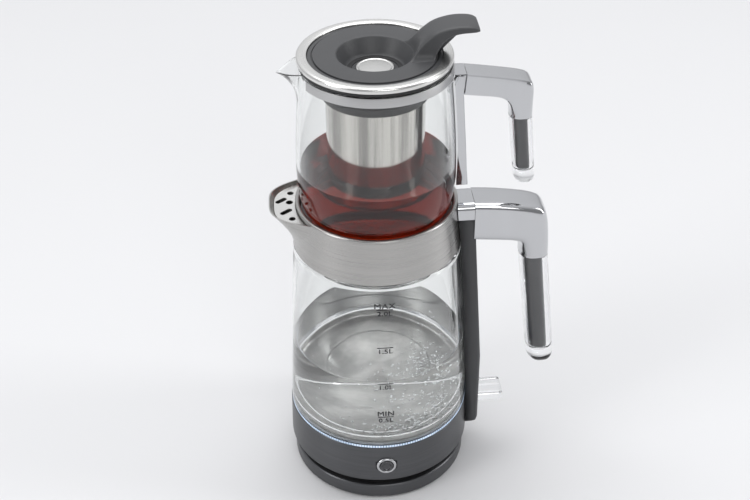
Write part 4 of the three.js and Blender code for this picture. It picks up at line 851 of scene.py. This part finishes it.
def sleeve_sides(grip):
    """Inner and outer X of a grip's top, where the bar's lower end meets it."""
    return grip["top_x"] - grip["top_half"], grip["top_x"] + grip["top_half"]


def build_grip(prefix, grip):
    """The clear sleeve is one closed cup, up its outside and down its bore; the grey core fills the bore."""
    sleeve, core = prefix + "grip_sleeve", prefix + "grip_core"
    top, length = span(sleeve)[1], grip["length"]
    bore = grip_rows(grip, top, 1 - grip["core_end"] / length, -0.3)
    cup = np.concatenate([grip_rows(grip, top)[::-1], bore])
    add_piece(sleeve + "_skin", swept(cup), "clear_plastic", sleeve)
    inside = grip_rows(grip, top, 1 - (grip["core_end"] + 0.6) / length)
    add_piece(core + "_skin", swept(inside), "grey_plastic", core)


def build_kettle_handle():
    """Adds the kettle's column, bar, grip, cap and switch."""
    stub, top = span("handle_bar")
    start = span("handle_bar", 0)[0]
    sleeve_in, sleeve_out = sleeve_sides(KETTLE_GRIP)
    rows = [
        [start, top, start, top - 33.4, 15, 9],
        [start + 8, top - 0.5, start + 8, top - 34.0, 15, 9],
        [start + 22, top - 1.6, start + 20, top - 35.4, 15, 8],
        [start + 36, top - 3.4, start + 30, top - 36.6, 15, 7],
        [start + 47, top - 5.4, start + 36.4, top - 38.5, 15, 6],
        [start + 55.6, top - 8.4, start + 38.6, top - 41.5, 14.8, 5],
        [start + 59.2, top - 19, start + 38.9, top - 45, 14.5, 4],
        [sleeve_out - 1.3, top - 34, sleeve_in, top - 49, 14.2, 3.2],
        [sleeve_out, stub + 3, sleeve_in, stub + 3, 14, GRIP_BLUNTNESS],
        [sleeve_out, stub, sleeve_in, stub, 14, GRIP_BLUNTNESS],
    ]
    add_piece("handle_bar_skin", swept(corner_cut(rows)), "chrome", "handle_bar")
    build_grip("", KETTLE_GRIP)
    smooth_copy("handle_column", "handle_column_skin", "grey_plastic")
    build_column_cap()
    build_switch_lever()


def build_column_cap():
    """A block with a rounded top, whose inner end follows the collar: x starts at sqrt(R(z)^2 - y^2)."""
    low, top = span("column_cap")
    half = 15
    section = arc_corners([[-half, low, 0.5], [half, low, 0.5], [half, top, 10], [-half, top, 10]], 14)
    y, z = section[:, 0], section[:, 1]
    start = np.sqrt((kettle_radius(z) + 0.4) ** 2 - y**2)
    share = np.array([0, 0.02, 0.5, 0.96, 1.0])[:, None]
    x = start + (span("column_cap", 0)[1] - start) * share
    rings = np.stack([x, y + 0 * x, z + 0 * x], -1)
    add_piece("column_cap_skin", capped(rings), "chrome", "column_cap")


def build_switch_lever():
    """A clear block with softly rounded edges, drawn out along X and closed by a flat dome."""
    low, high = (Vector(corner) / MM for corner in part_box("switch_lever"))
    middle, half, rounding = (low.z + high.z) / 2, (high.z - low.z) / 2, 2.2
    turn = np.linspace(0, math.pi / 2, 10)[1:-1]
    inward = np.concatenate([[0, 0], 1 - np.cos(turn)]) * rounding
    along = np.concatenate([[low.x, high.x - rounding], high.x - rounding + rounding * np.sin(turn)])
    rows = [[x, middle + half - i, x, middle - half + i, high.y - i, 7] for x, i in zip(along, inward)]
    add_piece("switch_lever_skin", swept(rows, 96), "clear_plastic", "switch_lever")


def build_teapot_handle():
    """Adds the teapot's column, bar and grip."""
    rim, start, stub = POT_RIM, 66.3, span("teapot_handle_bar")[0]
    sleeve_in, sleeve_out = sleeve_sides(POT_GRIP)
    rows = [
        [start, rim - 9.8, 64.8, rim - 26.5, 10.3, 14],
        [start + 14, rim - 11.8, 76, rim - 28, 10.3, 14],
        [start + 32, rim - 14.6, 88, rim - 29.4, 10.3, 12],
        [start + 42, rim - 16.4, 95.5, rim - 32, 10.3, 10],
        [start + 48.4, rim - 18.6, 98.9, rim - 37, 10.3, 8],
        [start + 50.3, rim - 24, 99.9, rim - 41, 10.3, 6],
        [sleeve_out - 0.5, rim - 36, sleeve_in, rim - 45, 10.2, 3.6],
        [sleeve_out, stub + 2, sleeve_in, stub + 2, 10, GRIP_BLUNTNESS],
        [sleeve_out, stub, sleeve_in, stub, 10, GRIP_BLUNTNESS],
    ]
    add_piece("teapot_bar_skin", swept(corner_cut(rows)), "chrome", "teapot_handle_bar")
    build_grip("teapot_", POT_GRIP)
    smooth_copy("teapot_column", "teapot_column_skin", "chrome", 30)


# Teapot, infuser and lid

# The teapot's outline: shares of its rim's radius, and of its height
POT_RADII = [0.985, 1.032, 1.06, 1.082, 1.089, 1.075, 1.044, 1.014, 1]
POT_HEIGHTS = [0.011, 0.05, 0.1, 0.19, 0.31, 0.5, 0.71, 0.88, 1]


def pot_radius(z):
    """Outer radius of the teapot at a height: straight between its points, eased by a running mean."""
    heights = POT_LOW + np.array(POT_HEIGHTS) * (POT_RIM - POT_LOW)
    radii = POT_RIM_RADIUS * np.array(POT_RADII)
    z = np.asarray(z, float)
    reach = np.clip((POT_RIM - z) / 12, 0, 1) * np.clip((z - POT_LOW) / 14, 0, 1)
    return np.mean([np.interp(z + step * reach, heights, radii) for step in range(-6, 7)], 0)


# The pour lip: its height, how far its tip runs out and dips, and its half width in degrees
LIP_RISE = 28
LIP_REACH = 16.2
LIP_DIP = 5.5
LIP_ANGLE = 19


def pour_lip(radius, height, turn):
    """Draws the teapot's wall out at -X by the 1.6th power of the lip's height, narrowing to a tip."""
    rise = np.clip((height - (POT_RIM - LIP_RISE)) / LIP_RISE, 0, 1)
    width = np.radians(LIP_ANGLE) * (0.45 + 0.55 * rise)
    side = np.clip(1 - np.abs(turn - math.pi) / width, 0, 1)
    across = side**1.25 * (1.35 - 0.35 * side)
    return radius + LIP_REACH * rise**1.6 * across, height - LIP_DIP * rise**3 * across


def pot_wall(heights, inset):
    """Rows of the teapot's wall at some heights, from its outer face inwards."""
    return [[r - inset, z] for r, z in zip(pot_radius(heights), heights)]


def build_teapot():
    """Adds the teapot's glass, the tea in it and the neck strap."""
    low, rim = POT_LOW, POT_RIM
    heights = np.concatenate([np.linspace(low + 1.4, low + 12, 10), np.linspace(low + 16, rim - 1, 40)])
    inner = pot_wall(heights[heights > low + 4], POT_WALL)
    glass = [
        [0, low], [50, low, 3], *pot_wall(heights, 0), [POT_RIM_RADIUS, rim, 0.9],
        [POT_RIM_RADIUS - POT_WALL, rim, 0.9], *inner[::-1], [48, POT_FLOOR, 3], [0, POT_FLOOR],
    ]
    add_piece("teapot_glass_skin", turned(glass, pour_lip), "clear_glass", "teapot_glass")
    level, floor = sizes().tea_level / MM, POT_FLOOR + 0.1
    body = pot_wall(np.linspace(low + 4.5, level, 24), POT_WALL - WETTING)
    edge = body[-1][0]
    tea = [
        [0, floor], [47.8, floor, 3], *body, [edge, level + 0.9], [edge - 0.8, level + 0.25],
        [edge - 2.2, level], [0, level],
    ]
    add_piece("brewed_tea", turned(tea), "tea", body="teapot", slot="clear_glass")
    build_neck_band()


def build_neck_band():
    """A thin strap round the teapot's neck, open at the pour lip: a closed section carried along an arc."""
    top = span("neck_band")[1]
    low, near, far = top - 7.2, 0.3, 1.3
    open_angle = math.radians(27)
    turn = np.linspace(math.pi + open_angle, 3 * math.pi - open_angle, 140)[:, None]
    section = arc_corners([[near, low, 0.3], [far, low, 0.3], [far, top, 0.3], [near, top, 0.3]], 3)
    out, height = section.T
    radius = pot_radius(height) + out
    rings = np.stack([np.cos(turn) * radius, np.sin(turn) * radius, height + 0 * turn], -1)
    add_piece("neck_strap", capped(rings), "strap_steel", "neck_band")


def build_infuser():
    """Adds the basket, its perforated floor, and the ring that hangs them."""
    low, top = span("infuser_basket")
    r, floor_radius, wall = 37, 30, 0.8
    basket = [
        [floor_radius, low], [r, low, 6], [r, top - wall, 0.6], [r + 3, top - wall], [r + 3, top],
        [r - wall, top, 0.8], [r - wall, low + wall, 5.4], [floor_radius, low + wall],
    ]
    add_piece("basket_skin", turned(basket), "mirror_steel", "infuser_basket")
    rim, hole, pitch = circle(sizes().segments, floor_radius), circle(14, 1.2), 6
    holes = [hole + centre for ring in (1, 2, 3, 4) for centre in circle(6 * ring, pitch * ring)]
    outline_piece(
        "basket_floor", [rim, *holes], low, low + wall, "mirror_steel", body="infuser", slot="mirror_steel",
    )
    low, top = span("infuser_carrier")
    flange, cup = top - 1.8, low + 8.7
    carrier = [
        [37.3, low, 0.5], [39.9, low, 0.8], [39.9, low + 6, 2], [52.8, flange - 6, 2], [52.8, flange],
        [56.3, flange, 0.5], [56.3, top, 0.6], [51, top, 0.5], [51, flange - 6, 2], [42.4, cup],
        [40.6, cup], [40.6, low + 7.6], [37.3, low + 7.6],
    ]
    add_piece("carrier_skin", turned(carrier), "black_plastic", "infuser_carrier")


def build_lid():
    """Adds the lid's ring, disc with lever, insert and crater ring."""
    inner = 49.5
    ring = [
        [LID_RADIUS, LID_LOW, 1.6], [LID_RADIUS, LID_TOP - 0.1, 3.2], [52.6, LID_TOP + 0.1, 2],
        [inner, LID_TOP - 0.6, 0.5], [inner, LID_LOW],
    ]
    add_piece("lid_ring_skin", turned(ring), "bright_steel", "lid_ring")
    crater, step = DISC - 12.5, DISC - 0.8
    disc = [
        [0, crater - 2.2], [23.7, crater - 2.2], [30.3, DISC - 3], [49.2, DISC - 3], [49.2, step, 0.5],
        [46.2, step, 0.3], [46.2, step - 0.8, 0.2], [45.3, step - 0.8, 0.2], [45.3, DISC, 0.5],
        [28.2, DISC, 1.2], [21.5, crater, 2.5], [0, crater],
    ]
    add_piece("lid_disc_skin", joined(turned(disc), lever()), "grey_plastic", "lid_disc")
    seat = span("lid_insert")[0]
    dish, edge = seat + 1.3, seat + 1.6
    insert = [[0, seat], [14, seat], [14, edge, 0.8], [12.6, edge, 0.4], [12, dish, 0.4], [0, dish]]
    add_piece("lid_insert_skin", turned(insert), "bright_steel", "lid_insert")
    low, top = crater - 0.2, crater + 0.7
    ring = [[17, low], [20.6, low], [20.6, top, 0.5], [17, top, 0.5]]
    add_piece("crater_ring", turned(ring), "black_plastic", body="lid", slot="black_plastic")


def lever():
    """The thumb lever: it climbs from the crater's lip and runs out level past the lid's edge."""
    d = DISC
    rows = [
        [26.95, d - 2.6, 41.8, d - 2.8, 19.4, 9],
        [27.9, d - 0.9, 42, d - 1.3, 19.3, 9],
        [28.3, d, 42.2, d - 0.5, 18.6, 9],
        [28.7, d + 0.9, 42.5, d + 0.2, 17.2, 8],
        [29.2, d + 2.0, 42.9, d + 1.0, 15.9, 8],
        [30, d + 4.2, 43.7, d + 2.4, 14.7, 7],
        [31.2, d + 7.2, 44.7, d + 4.2, 14.0, 7],
        [33, d + 10.9, 46.2, d + 6.6, 13.4, 6],
        [36.1, d + 14.7, 48.2, d + 9.4, 13, 5],
        [40.2, d + 18, 50.8, d + 12.4, 12.8, 5],
        [46.4, d + 20.8, 54.6, d + 15, 12.6, 5],
        [56, d + 22.9, 60, d + 16.6, 12.6, 5],
        [66, d + 22.9, 66.5, d + 17, 12.6, 4.6],
        [71.5, d + 21.9, 71.5, d + 17, 12.3, 4],
        [74.1, d + 20.2, 74.1, d + 17.6, 11.4, 3],
    ]
    rib = [
        [47, d + 9, 44, d - 2.6, 1.6, 3],
        [50, d + 13.2, 46.5, d - 2.6, 1.6, 3],
        [56, d + 16, 49, d + 1.5, 1.6, 3],
        [62, d + 17.6, 60, d + 12.5, 1.4, 3],
    ]
    points, faces = swept(corner_cut(rows), 96)
    return joined((hugging(points), faces), swept(corner_cut(rib, 2)))


def hugging(points):
    """Curves the lever's root like the crater: x falls to sqrt(x^2 - y^2), less and less up to its bend."""
    x, y, z = points.T
    sag = x - np.sqrt(x**2 - y**2)
    near = (1 - smoothstep(z, DISC + 3, DISC + 19)) * (1 - smoothstep(x, 30, 44))
    return np.stack([x - sag * near, y, z], 1)


# Front button and level marks


def facing(outline):
    """A turned piece with its axis laid along -Y at the button's height; its heights run outwards."""
    points, faces = turned(outline)
    x, y, depth = points.T
    return np.stack([x, -depth, BUTTON + y], 1), faces


def build_button():
    """Adds the front button, its bezel and its spring, which shortens as it is pressed."""
    face, back = (-depth for depth in span("button_bezel", 1))
    bore, shell, guide = 5.9, 7.1, 2.3
    flange, web = face - 0.9, back + 1.4
    bezel = [
        [bore, face - 0.3, 0.4], [6.6, face, 0.4], [7.6, face, 0.6], [8.3, flange, 0.3], [shell, flange],
        [shell, back], [guide, back], [guide, web], [bore, web],
    ]
    add_piece("bezel_skin", facing(bezel), "chrome", "button_bezel")
    face, back = (-depth for depth in span("front_button", 1))
    stem, r, head = 2, 5.6, face - 4.4
    cap = [
        [0, back], [stem, back], [stem, head], [r, head], [r, face - 0.2, 0.9], [3.9, face, 0.5],
        [3.3, face - 0.7, 0.6], [0, face - 1.0],
    ]
    add_piece("button_skin", facing(cap), "button_cap", "front_button")
    spring = smooth_copy("button_spring", "button_spring_coil", "bright_steel")
    low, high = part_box("button_spring")
    travel = next(joint["range_m"][1] for joint in BEHAVIOUR["joints"] if joint["name"] == "button_press")
    share = 1 - travel / (high.y - low.y)
    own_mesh(spring)


# Height of each mark's line above the frame's origin, with the words over it and under it
MARKS = [(194.7, "MAX", "2.0L"), (158.8, "", "1.5L"), (123.4, "", "1.0L"), (89.8, "MIN", "0.5L")]
MARK_HALF_WIDTH = 6.3
MARK_LINE = 0.75
WIDER = 1.15
# A digit's height as a share of the font's size
DIGIT_SHARE = 0.73
# How far the ink spreads past the letters' outlines, how thick it is, and its gap to the glass
INK_SPREAD = 0.13
INK = 0.04
INK_GAP = 0.02


def text_mesh(words, height):
    """Points and triangles of a centred line of text in Blender's own font; its height in millimetres."""
    curve = bpy.data.curves.new("words", "FONT")
    curve.body = words
    curve.align_x = "CENTER"
    curve.size = height / DIGIT_SHARE
    curve.resolution_u = 3
    curve.space_character = 1.08
    holder = linked("words", curve)
    shown = holder.evaluated_get(bpy.context.evaluated_depsgraph_get())
    mesh = bpy.data.meshes.new_from_object(shown)
    bpy.data.objects.remove(holder)
    made = bmesh.new()
    made.from_mesh(mesh)
    bmesh.ops.triangulate(made, faces=made.faces)
    bmesh.ops.remove_doubles(made, verts=made.verts, dist=0.02)
    made.verts.index_update()
    points = np.array([v.co[:2] for v in made.verts])
    faces = np.array([[v.index for v in f.verts] for f in made.faces])
    made.free()
    bpy.data.meshes.remove(mesh)
    return spread(points, faces, INK_SPREAD), faces


def border_of(faces):
    """The edges of a flat patch that only one of its triangles has, with the patch on their left."""
    edges = np.concatenate([faces[:, [0, 1]], faces[:, [1, 2]], faces[:, [2, 0]]]).tolist()
    keys = {tuple(e) for e in edges}
    return np.array([e for e in edges if (e[1], e[0]) not in keys])


def spread(points, faces, distance):
    """Moves each border point out by distance * (n1 + n2) / (1 + n1.n2), n1 and n2 its edges' normals."""
    start, end = border_of(faces).T
    along = points[end] - points[start]
    normal = np.stack([along[:, 1], -along[:, 0]], 1) / np.linalg.norm(along, axis=1)[:, None]
    leaving, arriving = np.zeros_like(points), np.zeros_like(points)
    leaving[start], arriving[end] = normal, normal
    share = 1 + np.einsum("ij,ij->i", leaving, arriving)
    return points + distance * (leaving + arriving) / np.maximum(share, 0.6)[:, None]


def thick(points, faces):
    """A flat patch made a thin closed layer: its faces, the same turned over, and a wall along its border."""
    start, end = border_of(faces).T
    count = len(points)
    layers = [np.column_stack([points, np.full(count, out)]) for out in (INK_GAP, INK_GAP + INK)]
    walls = np.stack([start, end, end + count, start + count], 1)
    return np.concatenate(layers), [faces[:, ::-1], faces + count, walls]


def strip(half, thickness, up):
    """A flat line of the marks as a grid, so that it can bend round the glass."""
    steps = 12
    x = np.linspace(-half, half, steps + 1)
    points = np.concatenate([np.column_stack([x, np.full_like(x, z)]) for z in (up, up + thickness)])
    i = np.arange(steps)
    over = i + steps + 1
    return points, np.concatenate([np.stack([i, i + 1, over + 1], 1), np.stack([i, over + 1, over], 1)])


def wrapped(points, faces):
    """Flat points [across, up, out] laid round the kettle's front: across becomes an angle, out a radius."""
    across, up, out = points.T
    radius = kettle_radius(up)
    angle = -math.pi / 2 + across / radius
    return np.stack([(radius + out) * np.cos(angle), (radius + out) * np.sin(angle), up], 1), faces


def build_marks():
    """Adds the printed level marks, wrapped round the glass."""
    height = sizes().mark_height / MM
    patches = []
    for up, above, below in MARKS:
        patches.append(strip(MARK_HALF_WIDTH, MARK_LINE, up))
        for words, size, base in ((above, WIDER * height, up + 1.6), (below, height, up - height - 0.9)):
            if words:
                points, faces = text_mesh(words, size)
                patches.append((points * (WIDER, 1) + (0, base), faces))
    marks = joined(*(wrapped(*thick(*patch)) for patch in patches))
    add_piece("level_marks", marks, "ink", body="kettle", slot="black_plastic")


# Finishes of the CAD nodes that stay in sight


def build_finishes():
    """Gives every node of the frame its finish."""
    shared = finishes()
    for node, slot in SLOT_OF.items():
        materials = frame["nodes"][node].data.materials
        materials.clear()
        materials.append(shared[slot])


# Stage

# The camera's angles in degrees, its focal length in pixels, and the frame's origin seen from it in metres
PITCH, AZIMUTH, ROLL = 35.39, 4.416, 0.69
FOCAL_PIXELS = 1251.2
PICTURE_WIDTH = 750
SENSOR_WIDTH = 36.0
ORIGIN_SEEN = (0.0016, -0.16584, 1.11835)
FLOOR_HALF = 30.0
FLOOR_DEPTH = 0.02
# Each lamp's place and the width and height of its face in metres, and its power in watts
LAMPS = {
    "overhead": ((-0.2, 0.9, 2.8), 3.0, 1.8, 38.0),
    "key": ((-1.98, -0.91, 1.44), 0.83, 2.1, 17.4),
    "strip_right": ((2.06, -0.25, 1.11), 0.5, 2.0, 15.0),
    "front": ((0.41, -2.48, 1.68), 1.49, 0.83, 13.6),
}
LAMP_TARGET = (0, 0, 0.2)
# The direction in which the studio's dome is brightest, and its least and greatest strength
BRIGHT_SIDE = (-0.1, 0.5, 0.86)
DOME_DIM = 0.3
DOME_BRIGHT = 0.86


def build_camera():
    """Sets a camera that looks down by the pitch, stands at the azimuth and is rolled a little."""
    pitch, azimuth, roll = (math.radians(angle) for angle in (PITCH, AZIMUTH, ROLL))
    turn = Matrix.Rotation(-azimuth, 3, "Z")
    right = turn @ Vector((1, 0, 0))
    up = turn @ Vector((0, math.sin(pitch), math.cos(pitch)))
    ahead = turn @ Vector((0, math.cos(pitch), -math.sin(pitch)))
    place = -(right * ORIGIN_SEEN[0] + up * ORIGIN_SEEN[1] + ahead * ORIGIN_SEEN[2])
    rolled_right = right * math.cos(roll) - up * math.sin(roll)
    rolled_up = up * math.cos(roll) + right * math.sin(roll)
    axes = Matrix((rolled_right, rolled_up, -ahead)).transposed()
    data = bpy.data.cameras.new("camera")
    data.sensor_width = SENSOR_WIDTH
    data.lens = FOCAL_PIXELS / PICTURE_WIDTH * SENSOR_WIDTH
    data.clip_end = 50.0
    camera = linked("camera", data)
    camera.matrix_world = Matrix.Translation(place) @ axes.to_4x4()
    bpy.context.scene.camera = camera


def area_lamp(name, place, width, height, power):
    """A rectangular lamp that faces the object's middle."""
    data = bpy.data.lights.new(name, "AREA")
    data.shape = "RECTANGLE"
    data.size, data.size_y = width, height
    data.energy = power
    lamp = linked(name, data)
    lamp.location = place
    lamp.rotation_euler = (Vector(LAMP_TARGET) - Vector(place)).to_track_quat("-Z", "Y").to_euler()


def build_world():
    """A soft studio dome: brightest high at the back, dimmer towards the front."""
    world = bpy.data.worlds.new("studio")
    bpy.context.scene.world = world
    world.use_nodes = True
    made = Nodes(world.node_tree)
    place = made.node("ShaderNodeTexCoord").outputs["Generated"]
    slope = made.node("ShaderNodeVectorMath", {"operation": "DOT_PRODUCT"}, Vector=place)
    made.feed(slope.inputs[1], BRIGHT_SIDE)
    sky = world.node_tree.nodes["Background"]
    made.feed(sky.inputs["Color"], (0.97, 0.98, 1.0))
    made.feed(sky.inputs["Strength"], made.ramp(slope.outputs["Value"], -0.1, 1.0, DOME_DIM, DOME_BRIGHT))


def build_floor():
    """A wide flat slab just under the feet."""
    made = Finish("studio floor")
    cloud = made.stretched_noise((3, 3, 3), 2)
    tint = colours().floor
    made.set(Base_Color=made.shade(cloud, scaled(tint, 0.99), scaled(tint, 1.01)), Roughness=0.7)
    corners = FLOOR_HALF * np.array([[-1, -1], [1, -1], [1, 1], [-1, 1]])
    top = np.column_stack([corners, np.full(4, FLOOR * MM - 0.0001)])
    sides = [[i, (i + 1) % 4, (i + 1) % 4 + 4, i + 4] for i in range(4)]
    mesh = bpy.data.meshes.new("studio_floor")
    points = np.concatenate([top - (0, 0, FLOOR_DEPTH), top])
    mesh.from_pydata(points.tolist(), [], [[3, 2, 1, 0], [4, 5, 6, 7], *sides])
    mesh.materials.append(made.material)
    linked("studio_floor", mesh)


def build_stage():
    """Adds the floor, the lamps and the world."""
    build_floor()
    build_world()
    for name, lamp in LAMPS.items():
        area_lamp(name, *lamp)
    bpy.context.scene.view_settings.view_transform = "Standard"


# Every operator by name, in the order in which they run
BUILDERS = {
    builder.__name__.removeprefix("build_"): builder
    for builder in (
        build_camera, build_stage, build_finishes, build_power_base, build_kettle_base, build_kettle_glass,
        build_bubbles, build_collar, build_strainer, build_kettle_handle, build_teapot, build_teapot_handle,
        build_infuser, build_lid, build_button, build_marks,
    )
}


def make_operator(name, builder):
    """An operator class that runs one builder and has its docstring."""

    def execute(self, context):
        builder()
        return {"FINISHED"}

    parts = {
        "bl_idname": "tea_maker." + name, "bl_label": name.replace("_", " ").capitalize(),
        "__doc__": builder.__doc__, "execute": execute,
    }
    return type("TEA_MAKER_OT_" + name, (bpy.types.Operator,), parts)


OPERATORS = [make_operator(name, builder) for name, builder in BUILDERS.items()]


class TEA_MAKER_PT_panel(bpy.types.Panel):
    """Lists the sizes, the colours and the pieces in the 3D view's sidebar."""

    bl_label = "Tea maker"
    bl_idname = "TEA_MAKER_PT_panel"
    bl_space_type = "VIEW_3D"
    bl_region_type = "UI"
    bl_category = "Tea maker"

    def draw(self, context):
        for group in (context.scene.tea_maker_sizes, context.scene.tea_maker_colours):
            for name in group.__annotations__:
                self.layout.prop(group, name)
        for operator in OPERATORS:
            self.layout.operator(operator.bl_idname)


CLASSES = [TeaMakerSizes, TeaMakerColours, *OPERATORS, TEA_MAKER_PT_panel]


def register():
    for made in CLASSES:
        bpy.utils.register_class(made)
    bpy.types.Scene.tea_maker_sizes = bpy.props.PointerProperty(type=TeaMakerSizes)
    bpy.types.Scene.tea_maker_colours = bpy.props.PointerProperty(type=TeaMakerColours)


def unregister():
    del bpy.types.Scene.tea_maker_colours
    del bpy.types.Scene.tea_maker_sizes
    for made in reversed(CLASSES):
        bpy.utils.unregister_class(made)


def main():
    """Registers the classes, runs the operators in order and writes the boxes before and after."""
    register()
    for name in BUILDERS:
        getattr(bpy.ops.tea_maker, name)()


if __name__ == "__main__":
    main()
